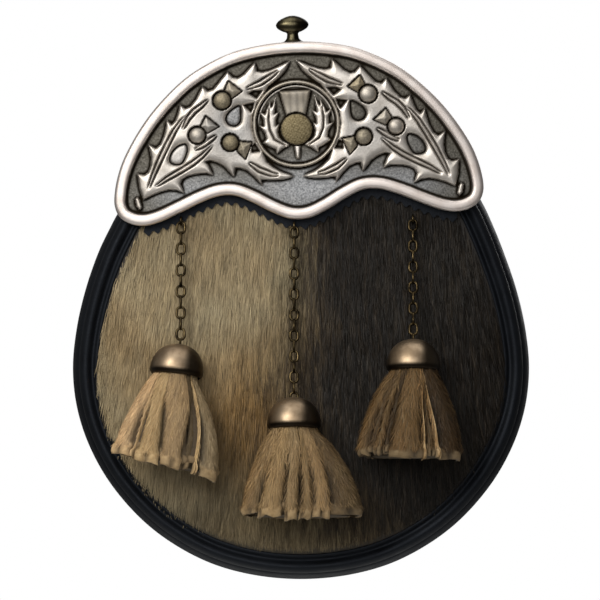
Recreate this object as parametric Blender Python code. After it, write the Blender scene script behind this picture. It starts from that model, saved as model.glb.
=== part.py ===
"""Day-wear pouch with a cast metal cantle, a hair-on hide front, three chains and three hide tassels.

Lengths are millimetres. X runs to the viewer's right, -Y is the front, +Z is up. The origin is on the back
panel, midway between the two belt loops.
"""

import math

import bmesh
import bpy
import numpy as np
from mathutils import Vector
from mathutils.geometry import delaunay_2d_cdt

MM = 0.001
# A point this near to a line lies on it
TOUCH = 1e-3
# Height of the belt loops' middle in the drawing below, which becomes height zero
ORIGIN_Z = -16.0

# Depths, measured along Y at the middle of the pouch
BACK_FACE = 0.0
BACK_THICK = 2.5
GAP = 0.3
GUSSET_FRONT = -27.5
WELT_CENTRE = -30.2
WELT_RADIUS = 2.4
PANEL_FRONT = -31.0
PANEL_THICK = 2.5
BELLY = 8.5
BELLY_TOP = -25.0
BELLY_RISE = 45.0
BELLY_EDGE = 45.0
STRIP_BACK = -31.3
STRIP_THICK = 1.4
CANTLE_BACK = -33.3
CANTLE_PLATE = 2.2
# How far the front bends back at each corner of the cantle, and how far out that corner is
BOW = 5.0
BOW_AT = 78.0

# Distances in from the pouch's outer line
BACK_INSET = 3.0
WELT_INSET = 6.2
PANEL_INSET = 9.1

# The cantle sits a little turned on the pouch
CANTLE_TILT = math.radians(2.6)
CANTLE_X = -2.2
CANTLE_Z = 17.4
LEAN_FROM = -40.0
LEAN_OVER = 38.0

# Outer line of the pouch, bottom to top
POUCH_LINE = [  # height, half width
    (-174.5, 0.0),
    (-172.2, 22.9),
    (-166.0, 42.3),
    (-153.3, 62.8),
    (-136.5, 78.8),
    (-119.7, 88.8),
    (-102.9, 94.5),
    (-86.1, 96.4),
    (-69.3, 94.9),
    (-52.5, 91.1),
    (-35.7, 85.3),
    (-22.0, 79.2),
    (-12.6, 74.6),
    (-2.6, 73.0),
    (7.4, 69.0),
    (19.2, 61.4),
    (27.0, 54.2),
    (35.1, 45.6),
    (41.9, 34.0),
    (46.0, 20.0),
    (47.6, 8.0),
    (47.8, 0.0),
]
POUCH_STEPS = 54

# Side wall of the pouch, back to front
GUSSET_OUTER = [  # share of the depth, distance in from the outer line
    (0.0, 3.4),
    (0.25, 0.5),
    (0.52, 0.0),
    (0.8, 1.1),
    (1.0, 3.6),
]
GUSSET_INNER = [  # share of the depth, distance in from the outer line
    (1.0, 5.6),
    (0.52, 2.1),
    (0.0, 5.4),
]

# Cantle, in its own frame: u to the right, v up, from the middle of the ring
CANTLE_HALF = [  # u, v, left half from the top middle down to the bottom middle
    (0.0, 34.3),
    (-12.0, 33.6),
    (-25.0, 31.1),
    (-35.0, 27.1),
    (-45.0, 21.4),
    (-54.0, 13.8),
    (-62.0, 5.2),
    (-69.3, -5.2),
    (-74.4, -15.0),
    (-77.2, -25.0),
    (-77.5, -31.5),
    (-75.4, -36.2),
    (-70.6, -39.2),
    (-65.0, -40.0),
    (-59.0, -38.8),
    (-50.0, -35.2),
    (-41.0, -31.3),
    (-33.5, -29.0),
    (-27.0, -29.1),
    (-20.0, -32.1),
    (-12.0, -36.6),
    (-5.0, -39.6),
    (0.0, -40.3),
]
CANTLE_STEPS = 72
RIM_RISE = [  # distance in from the edge, height above the field
    (0.0, 0.7),
    (0.9, 2.2),
    (2.6, 3.1),
    (4.0, 2.3),
    (4.9, 0.0),
]
RELIEF_SPACING = 5.0
RELIEF_SLOPE = 0.8
# Heights of the relief above its field
LEAF_HIGH = 1.9
LEAF_SWELL = 0.5
LEAF_GROOVE = 1.2
BERRY_FOOT = 1.3
BERRY_DOME = 2.0
CUP_FOOT = 1.7
CUP_SWELL = 1.2
STEM_HIGH = 1.8
RING_HIGH = 1.9
RING_CREST = 0.7
THISTLE_HIGH = 1.8
THISTLE_SLOPE = 0.6
THISTLE_DEEP = 0.9
STALK_FOOT = 0.4
STALK_SWELL = 1.2
CROWN_FOOT = 0.6
CROWN_SWELL = 1.6
BULB_FOOT = 1.0
BULB_DOME = 2.0

# Raised leaf work on the left; the right side is its mirror
LEAF_LINE = [  # u, v
    (-1.0, 26.4), (-3.6, 25.5), (-6.5, 24.2), (-10.0, 22.8), (-13.0, 22.2), (-15.2, 22.7),
    (-15.9, 26.6), (-18.4, 24.3), (-20.8, 21.7), (-23.4, 20.2), (-25.4, 20.6),
    (-27.7, 23.2), (-31.4, 18.9), (-34.0, 16.0), (-36.3, 15.3),
    (-38.5, 17.5), (-41.4, 12.2), (-44.0, 9.2), (-46.0, 8.5),
    (-48.2, 10.1), (-49.4, 6.4), (-50.6, 3.5), (-52.1, 2.0),
    (-54.1, 4.2), (-54.7, 0.6), (-55.7, -2.9), (-57.3, -6.2), (-59.2, -7.6),
    (-62.3, -5.8), (-61.4, -11.5), (-61.7, -14.8), (-62.9, -17.6), (-64.5, -18.6),
    (-67.6, -17.9), (-66.9, -24.5), (-65.4, -29.3),
    (-61.5, -27.4), (-58.0, -26.2), (-54.5, -25.5), (-51.2, -25.8),
    (-47.9, -27.4), (-49.4, -23.2), (-48.6, -21.4), (-46.4, -20.1), (-43.0, -19.4), (-38.4, -19.2),
    (-35.3, -20.4), (-37.2, -15.9), (-38.4, -14.4), (-36.4, -14.0), (-33.6, -15.0), (-30.8, -16.8),
    (-26.8, -21.6), (-26.0, -17.6), (-24.0, -17.8), (-21.4, -18.9), (-18.6, -21.4),
    (-15.2, -25.5), (-15.3, -23.1), (-11.5, -23.3), (-8.0, -23.5), (-4.5, -23.1),
    (-1.6, -22.3), (-3.2, -21.3), (-6.6, -20.0), (-10.0, -17.9), (-12.6, -15.6),
    (-14.2, -11.5), (-17.0, -6.6), (-18.2, -1.0), (-17.9, 4.0), (-16.2, 8.4), (-12.4, 13.4),
    (-10.6, 16.0), (-8.2, 17.8), (-5.4, 20.0), (-3.2, 22.3),
]
LEAF_HOLES = [  # u, v
    [(-29.4, 2.8), (-28.7, 5.2), (-25.2, 8.1), (-23.0, 8.6), (-22.6, 4.4), (-23.4, 1.2), (-25.4, -0.1),
     (-28.2, 0.6)],
    [(-21.4, 8.7), (-17.2, 9.4), (-17.6, 7.4), (-18.6, 5.6)],
    [(-18.9, 13.4), (-17.2, 14.5), (-13.6, 14.4), (-16.0, 11.3)],
    [(-53.7, -12.0), (-52.2, -9.0), (-49.5, -6.9), (-46.6, -6.4), (-45.7, -8.2), (-46.5, -11.6),
     (-48.7, -14.9), (-51.8, -15.1), (-53.5, -14.0)],
    [(-19.2, -8.6), (-17.4, -7.6), (-15.6, -11.0), (-18.8, -11.2)],
]
LEAF_GROOVES = [  # u, v
    [(-63.4, -25.4), (-60.8, -19.2), (-57.8, -13.0), (-54.4, -6.6), (-51.0, -0.8), (-48.0, 3.2),
     (-45.6, 5.4)],
    [(-47.6, -0.6), (-45.0, 4.2), (-42.4, 7.0), (-39.2, 9.2), (-36.0, 11.8)],
    [(-60.6, -24.2), (-55.0, -20.7), (-49.0, -17.6), (-44.0, -14.8), (-40.0, -12.0), (-34.8, -7.2)],
    [(-43.0, -9.2), (-38.6, -7.0), (-33.2, -3.4)],
    [(-20.6, -15.4), (-16.0, -18.8), (-11.0, -20.9), (-7.6, -21.4)],
    [(-20.4, 15.3), (-14.0, 17.6), (-10.0, 20.0), (-6.0, 22.6)],
]
BERRIES = [  # u, v, radius
    (-30.5, 11.0, 3.5),
    (-41.6, -3.1, 3.3),
    (-27.8, -6.8, 3.3),
]
CUPS = [  # u, v of the four corners
    [(-29.4, 14.8), (-27.4, 18.9), (-22.3, 14.5), (-26.2, 11.9)],
    [(-39.9, 0.6), (-37.6, 4.6), (-32.5, 0.1), (-37.3, -2.3)],
    [(-24.1, -6.5), (-18.9, -7.2), (-21.8, -13.8), (-24.9, -10.4)],
]
STEM_END = [  # u, v
    (-69.0, -28.6), (-67.8, -27.8), (-66.8, -29.2), (-66.0, -32.4), (-67.0, -33.4), (-68.4, -32.0),
]
THISTLE_LEAF = [  # u, v, left leaf
    (-2.2, -11.0), (-5.0, -11.2), (-9.2, -12.4), (-9.6, -10.4), (-14.0, -7.1), (-11.7, -6.0),
    (-15.2, -0.4), (-12.9, -0.6), (-13.9, 5.3), (-12.0, 4.8), (-9.6, 10.2), (-8.6, 7.0), (-8.5, 3.9),
    (-6.4, 5.0), (-8.3, -0.4), (-6.9, -1.2), (-7.6, -3.6), (-7.0, -6.2), (-5.2, -8.4), (-2.2, -9.8),
]
THISTLE_GROOVE = [(-10.2, 6.6), (-10.9, 1.0), (-10.2, -4.0), (-8.0, -7.8), (-4.6, -10.2)]  # u, v
CROWN = [(-6.3, 13.7), (6.9, 13.7), (4.1, 2.6), (-3.7, 2.6)]  # u, v
STALK = [(-1.2, -8.4), (1.7, -8.4), (1.2, -14.9), (-0.5, -14.9)]  # u, v
BULB = (0.2, -2.4, 6.5)  # u, v, radius
RING_CENTRE = (0.2, -0.2)
RING_RADIUS = 17.6
RING_WIRE = 1.5
MIDDLE = 0.2

# Toothed strip below the cantle
STRIP_SHOWS = 4.4
STRIP_TUCK = 6.0
STRIP_END = 68.0
TOOTH_PITCH = 4.1
TOOTH_DEPTH = 1.7

# Finial on the top edge
KNOB_U = 0.4
KNOB_LINE = [  # height above the cantle's edge, half width, half depth
    (0.0, 3.9, 2.6),
    (0.7, 2.9, 2.2),
    (1.6, 2.5, 2.1),
    (3.6, 2.4, 2.1),
    (4.4, 4.4, 3.0),
    (5.8, 6.2, 3.7),
    (7.6, 6.5, 3.9),
    (9.4, 5.2, 3.3),
    (10.6, 2.8, 2.0),
]
KNOB_SIDES = 10

# Chains, caps and tassels
LINK_WIRE = 1.0
LINK_WIDTH = 4.3
LINK_SIDES = 5
# Free play between two links, and how far across a link its end stays straight
LINK_PLAY = 0.2
LINK_END = 0.55
CHAINS = [  # name, x, z of the staple, links, link pitch, staple on the strip
    ("left", -50.4, -23.6, 11, 4.65, True),
    ("centre", -2.9, -25.7, 16, 4.42, True),
    ("right", 47.0, -22.7, 11, 4.6, False),
]
STAPLE_OUT = 3.0
STAPLE_HALF = 1.6
EYE_RADIUS = 1.6
# Share of the eye's lower half that stands clear of the cap
EYE_SHOWS = 0.9
CAP_OUTER = [  # down from the top, radius
    (0.0, 0.0),
    (0.6, 4.0),
    (2.6, 7.6),
    (5.8, 10.0),
    (9.4, 11.1),
    (12.6, 11.2),
]
CAP_INNER = [  # down from the top, radius
    (12.6, 10.2),
    (7.6, 9.6),
    (4.4, 6.6),
    (3.2, 0.0),
]
CAP_SIDES = 14
CAP_STANDS_OFF = 0.8
# The hide pushes the mouth of each cap forward
CAP_FORWARD = math.radians(8)
TASSELS = [  # name, tilt of cap, tilt of tassel, shift and half width at the foot, length below the cap
    ("left", 7.0, 14.0, 4.4, 21.8, 39.5),
    ("centre", 0.0, 0.0, 3.4, 24.2, 39.0),
    ("right", 0.0, 0.0, -1.6, 20.6, 38.5),
]
TASSEL_DEPTH = 11.0
TASSEL_LINE = [  # share of the length below the cap, share of the flare, share of the width
    (0.0, 0.0, 1.0),
    (0.3, 0.53, 1.0),
    (0.65, 0.87, 1.0),
    (1.0, 1.0, 1.0),
    (0.95, 1.0, 0.5),
]
TASSEL_NECK = [(-7.9, 4.2), (-2.4, 8.0)]  # along the axis from the cap's mouth, radius
TASSEL_MOUTH = 8.4
TASSEL_STANDS_OFF = 0.7
STRIPS = 12
STRIP_VALLEY = 0.80
FOOT_RISE = [0.0, 2.6, 0.8, 3.4, 1.2, 0.0, 2.2, 3.8, 0.6, 1.6, 3.0, 1.0]  # how much shorter each strip is

# Back of the pouch
MOUTH = (37.0, -4.0, 26.0)  # half width, bottom, top
FLAP = (42.0, -34.0, 38.0)  # half width, bottom, top
FLAP_THICK = 2.0
FLAP_CORNER = 14.0
SNAP_Z = -24.0
SNAP_LINE = [(0.0, 6.0), (1.1, 6.0), (2.2, 3.7)]  # height above the flap, radius
SNAP_SIDES = 14
LOOP_X = 54.0
LOOP_WIDTH = 14.0
LOOP_LINE = [  # depth behind the back panel, height: outer side up, then inner side down
    (0.3, -38.0),
    (2.5, -38.0),
    (3.1, -31.6),
    (8.0, -28.0),
    (9.0, -25.0),
    (9.0, -7.0),
    (8.0, -4.0),
    (3.1, -0.4),
    (2.5, 6.0),
    (0.3, 6.0),
    (0.3, -2.6),
    (6.2, -6.4),
    (6.8, -8.0),
    (6.8, -24.0),
    (6.2, -25.6),
    (0.3, -29.4),
]


def material(name, colour, metal, rough):
    made = bpy.data.materials.new(name)
    made.use_nodes = True
    shader = made.node_tree.nodes["Principled BSDF"]
    shader.inputs["Base Color"].default_value = (*colour, 1.0)
    shader.inputs["Metallic"].default_value = metal
    shader.inputs["Roughness"].default_value = rough
    made.diffuse_color = (*colour, 1.0)
    return made


def add_piece(name, points, faces, surface, sharp=40.0):
    """One closed mesh from points in millimetres."""
    mesh = bpy.data.meshes.new(name)
    placed = [(float(x) * MM, float(y) * MM, (float(z) - ORIGIN_Z) * MM) for x, y, z in points]
    mesh.from_pydata(placed, [], [tuple(f) for f in faces])
    made = bmesh.new()
    made.from_mesh(mesh)
    bmesh.ops.recalc_face_normals(made, faces=made.faces)
    made.to_mesh(mesh)
    made.free()
    mesh.materials.append(surface)
    mesh.shade_smooth()
    mesh.set_sharp_from_angle(angle=math.radians(sharp))
    piece = bpy.data.objects.new(name, mesh)
    bpy.context.scene.collection.objects.link(piece)
    return piece


def closed_curve(points, steps):
    """Evenly spaced points along a smooth closed curve through the given ones."""
    knots = np.array(points, float)
    count = len(knots)
    fine = []
    for i in range(count):
        a, b, c, d = (knots[(i + k - 1) % count] for k in range(4))
        ta = max(np.linalg.norm(b - a), 1e-6) ** 0.5
        tb = max(np.linalg.norm(c - b), 1e-6) ** 0.5
        tc = max(np.linalg.norm(d - c), 1e-6) ** 0.5
        m1 = tb * ((b - a) / ta - (c - a) / (ta + tb)) + (c - b)
        m2 = tb * ((d - c) / tc - (d - b) / (tb + tc)) + (c - b)
        for s in np.linspace(0, 1, 12, endpoint=False):
            fine.append(
                (2 * s**3 - 3 * s**2 + 1) * b
                + (s**3 - 2 * s**2 + s) * m1
                + (3 * s**2 - 2 * s**3) * c
                + (s**3 - s**2) * m2
            )
    fine = np.array(fine + fine[:1])
    along = np.concatenate([[0], np.cumsum(np.linalg.norm(np.diff(fine, axis=0), axis=1))])
    wanted = np.linspace(0, along[-1], steps, endpoint=False)
    return np.stack([np.interp(wanted, along, fine[:, k]) for k in (0, 1)], axis=1)


def outward(line):
    """Unit normals of a closed line that runs anticlockwise."""
    way = np.roll(line, -1, axis=0) - np.roll(line, 1, axis=0)
    way /= np.linalg.norm(way, axis=1)[:, None]
    return np.stack([way[:, 1], -way[:, 0]], axis=1)


def inset(line, distance):
    return line - outward(line) * distance


def from_segments(points, a, b):
    """Distance of each point from the nearest of the segments a-b."""
    points = np.asarray(points, float)
    best = np.full(len(points), 1e9)
    for p, q in zip(a, b):
        way = q - p
        share = np.clip(((points - p) @ way) / max(way @ way, 1e-12), 0, 1)
        best = np.minimum(best, np.linalg.norm(points - p - share[:, None] * way, axis=1))
    return best


def inside(points, loop):
    points = np.asarray(points, float)
    found = np.zeros(len(points), bool)
    for p, q in zip(loop, np.roll(loop, -1, axis=0)):
        if p[1] == q[1]:
            continue
        crosses = (p[1] > points[:, 1]) != (q[1] > points[:, 1])
        where = (q[0] - p[0]) * (points[:, 1] - p[1]) / (q[1] - p[1]) + p[0]
        found ^= crosses & (points[:, 0] < where)
    return found


def depth_in(points, loop):
    """How far inside a closed loop each point is, and below zero outside it."""
    loop = np.asarray(loop, float)
    far = from_segments(points, loop, np.roll(loop, -1, axis=0))
    return np.where(inside(points, loop), far, -far)


def smooth(value):
    value = np.clip(value, 0, 1)
    return value * value * (3 - 2 * value)


def lean(line):
    """The pouch turns with the cantle where it lies behind it."""
    line = np.asarray(line, float)
    share = smooth((line[:, 1] - LEAN_FROM) / LEAN_OVER)
    turn = CANTLE_TILT * share
    x, z = line[:, 0], line[:, 1] - CANTLE_Z
    return np.stack(
        [
            x * np.cos(turn) - z * np.sin(turn) + CANTLE_X * share,
            x * np.sin(turn) + z * np.cos(turn) + CANTLE_Z,
        ],
        axis=1,
    )


def bow(x):
    return BOW * (np.asarray(x, float) / BOW_AT) ** 2


right_side = [(half, height) for height, half in POUCH_LINE]
left_side = [(-half, height) for height, half in POUCH_LINE[-2:0:-1]]
pouch_line = lean(closed_curve(right_side + left_side, POUCH_STEPS))
panel_line = inset(pouch_line, PANEL_INSET)


def belly(points):
    """How far the hide swells out of its flat edge."""
    edge = np.clip(depth_in(points, panel_line) / BELLY_EDGE, 0, 1)
    return BELLY * (1 - (1 - edge) ** 2) * smooth((BELLY_TOP - points[:, 1]) / BELLY_RISE)


def panel_face(points):
    points = np.asarray(points, float)
    return PANEL_FRONT + bow(points[:, 0]) - belly(points)


def mesh_between(loops, lines, inner, keep):
    """A flat triangle mesh with the given loops and lines as edges: its points and triangles."""
    points, edges = [], []
    for loop in loops:
        start = len(points)
        points += [Vector(p) for p in loop]
        edges += [(start + i, start + (i + 1) % len(loop)) for i in range(len(loop))]
    for line in lines:
        start = len(points)
        points += [Vector(p) for p in line]
        edges += [(start + i, start + i + 1) for i in range(len(line) - 1)]
    points += [Vector(p) for p in inner]
    made = delaunay_2d_cdt(points, edges, [], 0, 1e-5)
    flat = np.array([tuple(p) for p in made[0]])
    faces = np.array([tuple(f) for f in made[2]])
    middles = flat[faces].mean(axis=1)
    faces = faces[keep(middles)]
    used = np.unique(faces)
    number = np.zeros(len(flat), int)
    number[used] = np.arange(len(used))
    return flat[used], number[faces]


def plate(name, flat, faces, front, back, surface, sharp=40.0, under=None):
    """A solid between two faces; front and back turn flat points into space.

    The back face may have a flat mesh of its own with the same outer points.
    """
    count = len(flat)
    low_flat, low_faces = (flat, faces) if under is None else under
    number = {(round(x, 4), round(z, 4)): i + count for i, (x, z) in enumerate(low_flat)}
    points = np.concatenate([front(flat), back(low_flat)])
    ends = {}
    for a, b, c in faces:
        for edge in ((a, b), (b, c), (c, a)):
            key = (min(edge), max(edge))
            ends[key] = None if key in ends else edge
    below = [number.get((round(x, 4), round(z, 4))) for x, z in flat]
    walls = [(b, a, below[a], below[b]) for a, b in filter(None, ends.values())]
    low = [(c + count, b + count, a + count) for a, b, c in low_faces]
    return add_piece(name, points, [tuple(f) for f in faces] + low + walls, surface, sharp)


def grid_inside(loops, spacing, gap, keep):
    """Points of a triangular grid that keep clear of all the loops."""
    low = np.min([np.min(loop, axis=0) for loop in loops], axis=0)
    high = np.max([np.max(loop, axis=0) for loop in loops], axis=0)
    rows = []
    for j, z in enumerate(np.arange(low[1], high[1], spacing * 0.87)):
        start = low[0] + (spacing / 2 if j % 2 else 0)
        rows += [(x, z) for x in np.arange(start, high[0], spacing)]
    points = np.array(rows)
    points = points[keep(points)]
    for loop in loops:
        loop = np.asarray(loop, float)
        points = points[from_segments(points, loop, np.roll(loop, -1, axis=0)) > gap]
    return points


def ring_piece(name, lines, surface, sharp=40.0):
    """A closed band: each row of lines is a closed run of points, and the last row meets the first."""
    rows, steps = len(lines), len(lines[0])
    faces = []
    for i in range(rows):
        for j in range(steps):
            k, m = (i + 1) % rows, (j + 1) % steps
            faces.append((i * steps + j, i * steps + m, k * steps + m, k * steps + j))
    return add_piece(name, np.concatenate(lines), faces, surface, sharp)


def turned_faces(rows, width):
    """Faces that close a stack of rings of points, each ring of the same width."""
    faces = [tuple(range(width)), tuple((rows - 1) * width + k for k in range(width))]
    for r in range(rows - 1):
        for k in range(width):
            m = (k + 1) % width
            faces.append((r * width + k, r * width + m, (r + 1) * width + m, (r + 1) * width + k))
    return faces


def turned(crest, down, side, ahead, line, sides):
    """Rings of points round an axis; line holds a distance along the axis and a radius for each ring."""
    turns = 2 * math.pi * np.arange(sides) / sides
    spokes = np.outer(np.cos(turns), side) + np.outer(np.sin(turns), ahead)
    return [crest + down * along_axis + spokes * radius for along_axis, radius in line]


def leaning(degrees):
    """The sideways and the downward direction of something whose foot swings out to the left."""
    turn = math.radians(degrees)
    side = np.array([math.cos(turn), 0, -math.sin(turn)])
    plumb = np.array([-math.sin(turn), 0, -math.cos(turn)])
    return side, plumb


def tube_mesh(path, side, radius, sides, closed):
    """Points and faces of a round wire along a path that lies in one plane; side is that plane's normal."""
    path = np.asarray(path, float)
    side = np.asarray(side, float)
    count = len(path)
    points, faces = [], []
    for i in range(count):
        before = path[i - 1] if closed or i else path[0]
        after = path[(i + 1) % count] if closed or i < count - 1 else path[-1]
        along = (after - before) / np.linalg.norm(after - before)
        out = np.cross(along, side)
        out /= np.linalg.norm(out)
        for k in range(sides):
            turn = 2 * math.pi * (k + 0.5) / sides
            points.append(path[i] + radius * (math.cos(turn) * out + math.sin(turn) * side))
    for i in range(count if closed else count - 1):
        j = (i + 1) % count
        for k in range(sides):
            m = (k + 1) % sides
            faces.append((i * sides + k, i * sides + m, j * sides + m, j * sides + k))
    if not closed:
        faces.append(tuple(range(sides))[::-1])
        faces.append(tuple((count - 1) * sides + k for k in range(sides)))
    return points, faces


def mirrored(line):
    """The same line on the right-hand side."""
    return [(2 * MIDDLE - p[0], *p[1:]) for p in line][::-1]


def fused(base, other):
    """The base with another mesh joined on, as one closed body."""
    cut = base.modifiers.new("joined", "BOOLEAN")
    cut.operation = "UNION"
    cut.solver = "EXACT"
    cut.object = other
    graph = bpy.context.evaluated_depsgraph_get()
    mesh = bpy.data.meshes.new_from_object(base.evaluated_get(graph))
    old = base.data
    base.modifiers.clear()
    base.data = mesh
    bpy.data.meshes.remove(old)
    bpy.data.objects.remove(other, do_unlink=True)
    return base


for item in list(bpy.data.objects):
    bpy.data.objects.remove(item, do_unlink=True)

black_leather = material("black_leather", (0.018, 0.019, 0.024), 0.0, 0.38)
cast_metal = material("cast_silver_metal", (0.62, 0.61, 0.58), 1.0, 0.28)
dark_brass = material("dark_antique_brass", (0.20, 0.165, 0.12), 1.0, 0.38)
aged_bronze = material("aged_bronze", (0.42, 0.34, 0.26), 1.0, 0.28)
hide = material("hair_on_hide", (0.27, 0.225, 0.15), 0.0, 0.8)
tan_hide = material("tan_hide_strips", (0.42, 0.31, 0.18), 0.0, 0.85)

# Side wall
lines = []
for share, distance in GUSSET_OUTER + GUSSET_INNER:
    flat = inset(pouch_line, distance)
    back = BACK_FACE - BACK_THICK - GAP
    front = GUSSET_FRONT + bow(flat[:, 0])
    lines.append(np.stack([flat[:, 0], back + share * (front - back), flat[:, 1]], axis=1))
ring_piece("gusset", lines, black_leather, 50)

# Piping round the front
lines = []
for k in range(6):
    turn = 2 * math.pi * (k + 0.5) / 6
    flat = inset(pouch_line, WELT_INSET - WELT_RADIUS * math.cos(turn))
    y = WELT_CENTRE + bow(flat[:, 0]) - WELT_RADIUS * math.sin(turn)
    lines.append(np.stack([flat[:, 0], y, flat[:, 1]], axis=1))
ring_piece("front_welt", lines, black_leather, 75)

# Hide front
inner = grid_inside([panel_line], 13.5, 5.0, lambda p: inside(p, panel_line))
flat, faces = mesh_between([panel_line], [], inner, lambda p: inside(p, panel_line))
inner = grid_inside([panel_line], 22.0, 8.0, lambda p: inside(p, panel_line))
under = mesh_between([panel_line], [], inner, lambda p: inside(p, panel_line))
plate(
    "front_panel",
    flat,
    faces,
    lambda p: np.stack([p[:, 0], panel_face(p), p[:, 1]], axis=1),
    lambda p: np.stack([p[:, 0], panel_face(p) + PANEL_THICK, p[:, 1]], axis=1),
    hide,
    60,
    under,
)

# Back panel with the mouth
back_line = inset(pouch_line, BACK_INSET)
half, low, high = MOUTH
corner = (high - low) / 2
mouth = []
for k in range(7):
    turn = -math.pi / 2 + math.pi * k / 6
    mouth.append((half - corner + corner * math.cos(turn), (low + high) / 2 + corner * math.sin(turn)))
mouth += [(-x, z) for x, z in mouth[::-1]]
mouth = lean(mouth)
flat, faces = mesh_between([back_line, mouth], [], [], lambda p: inside(p, back_line) & ~inside(p, mouth))
plate(
    "back_panel",
    flat,
    faces,
    lambda p: np.stack([p[:, 0], np.full(len(p), BACK_FACE - BACK_THICK), p[:, 1]], axis=1),
    lambda p: np.stack([p[:, 0], np.full(len(p), BACK_FACE), p[:, 1]], axis=1),
    black_leather,
)

# Flap over the mouth
half, low, high = FLAP
flap = []
for k in range(5):
    turn = -math.pi / 2 + math.pi / 2 * k / 4
    x = half - FLAP_CORNER + FLAP_CORNER * math.cos(turn)
    flap.append((x, low + FLAP_CORNER + FLAP_CORNER * math.sin(turn)))
flap += [(half - 6.0, high - 6.0), (half - 22.0, high + 2.0)]
flap += [(-x, z) for x, z in flap[::-1]]
flap = lean(flap)
flat, faces = mesh_between([flap], [], [], lambda p: inside(p, flap))
flap_near = BACK_FACE + GAP
plate(
    "back_flap",
    flat,
    faces,
    lambda p: np.stack([p[:, 0], np.full(len(p), flap_near), p[:, 1]], axis=1),
    lambda p: np.stack([p[:, 0], np.full(len(p), flap_near + FLAP_THICK), p[:, 1]], axis=1),
    black_leather,
)
snap_base = flap_near + FLAP_THICK + GAP
points = []
for out, radius in SNAP_LINE:
    for k in range(SNAP_SIDES):
        turn = 2 * math.pi * k / SNAP_SIDES
        points.append((radius * math.cos(turn), snap_base + out, SNAP_Z + radius * math.sin(turn)))
add_piece("flap_snap", points, turned_faces(len(SNAP_LINE), SNAP_SIDES), dark_brass)

# Belt loops
for name, x in (("belt_loop_left", -LOOP_X), ("belt_loop_right", LOOP_X)):
    count = len(LOOP_LINE)
    points = [(x + LOOP_WIDTH / 2 * side, y, z) for side in (-1, 1) for y, z in LOOP_LINE]
    faces = [tuple(range(count)), tuple(range(count, 2 * count))]
    faces += [(k, (k + 1) % count, count + (k + 1) % count, count + k) for k in range(count)]
    add_piece(name, points, faces, black_leather)

# Cantle
half_line = CANTLE_HALF
cantle_line = closed_curve(half_line + [(-u, v) for u, v in half_line[-2:0:-1]], CANTLE_STEPS)
leaf_loops = [LEAF_LINE, mirrored(LEAF_LINE)]
hole_loops = LEAF_HOLES + [mirrored(h) for h in LEAF_HOLES]
groove_lines = LEAF_GROOVES + [mirrored(g) for g in LEAF_GROOVES]
berries = BERRIES + [(2 * MIDDLE - u, v, r) for u, v, r in BERRIES]
cup_loops = CUPS + [mirrored(c) for c in CUPS]
stem_ends = [STEM_END, mirrored(STEM_END)]
thistle_loops = [THISTLE_LEAF, mirrored(THISTLE_LEAF)]
thistle_grooves = [THISTLE_GROOVE, mirrored(THISTLE_GROOVE)]


def circle(u, v, radius, count):
    turns = [2 * math.pi * (k + 0.5) / count for k in range(count)]
    return [(u + radius * math.cos(t), v + radius * math.sin(t)) for t in turns]


def open_distance(points, line):
    line = np.asarray(line, float)
    return from_segments(points, line[:-1], line[1:])


def dome(flat, u, v, radius):
    """Distance from the middle of a round boss, as a share of its radius, and the height of a ball there."""
    far = np.hypot(flat[:, 0] - u, flat[:, 1] - v) / radius
    return far, np.sqrt(np.clip(1 - far**2, 0, 1))


def relief(flat):
    """Height of the cast relief above its field."""
    flat = np.asarray(flat, float)
    edge = depth_in(flat, cantle_line)
    steps, heights = zip(*RIM_RISE)
    high = np.interp(edge, steps, heights)
    leaf = np.max([depth_in(flat, loop) for loop in leaf_loops], axis=0)
    for loop in hole_loops:
        leaf = np.minimum(leaf, -depth_in(flat, loop))
    groove = np.min([open_distance(flat, line) for line in groove_lines], axis=0)
    body = LEAF_HIGH * np.clip(leaf / RELIEF_SLOPE, 0, 1) + LEAF_SWELL * smooth((leaf - RELIEF_SLOPE) / 2)
    body -= LEAF_GROOVE * (1 - np.clip(groove / RELIEF_SLOPE, 0, 1)) * (leaf > 0.1)
    high = np.maximum(high, np.where(leaf > -TOUCH, np.maximum(body, 0.05), 0))
    for u, v, radius in berries:
        far, ball = dome(flat, u, v, radius)
        high = np.where(far < 1 + TOUCH, BERRY_FOOT + BERRY_DOME * ball, high)
    for loop in cup_loops:
        far = depth_in(flat, loop)
        high = np.where(far > -TOUCH, CUP_FOOT + CUP_SWELL * smooth(far / RELIEF_SLOPE / 1.5), high)
    for loop in stem_ends:
        far = depth_in(flat, loop)
        high = np.maximum(high, STEM_HIGH * smooth(far / RELIEF_SLOPE + 0.1) * (far > -TOUCH))
    centre = np.hypot(flat[:, 0] - RING_CENTRE[0], flat[:, 1] - RING_CENTRE[1])
    ring = np.abs(centre - RING_RADIUS)
    high = np.where(centre < RING_RADIUS - RING_WIRE / 2 - 0.01, 0, high)
    on_ring = ring < RING_WIRE / 2 + 0.02
    high = np.where(on_ring, np.maximum(high, RING_HIGH + RING_CREST * (ring < 0.2)), high)
    line = np.min([open_distance(flat, g) for g in thistle_grooves], axis=0)
    for loop in thistle_loops:
        far = depth_in(flat, loop)
        body = THISTLE_HIGH * np.clip(far / THISTLE_SLOPE, 0, 1)
        body -= THISTLE_DEEP * (1 - np.clip(line / THISTLE_SLOPE, 0, 1)) * (far > 0.1)
        high = np.where(far > -TOUCH, np.maximum(high, body), high)
    for loop, foot, swell in ((STALK, STALK_FOOT, STALK_SWELL), (CROWN, CROWN_FOOT, CROWN_SWELL)):
        far = depth_in(flat, loop)
        high = np.where(far > -TOUCH, np.maximum(high, foot + swell * smooth(far / RELIEF_SLOPE)), high)
    far, ball = dome(flat, *BULB)
    return np.where(far < 1 + TOUCH, BULB_FOOT + BULB_DOME * ball, high)


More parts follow.
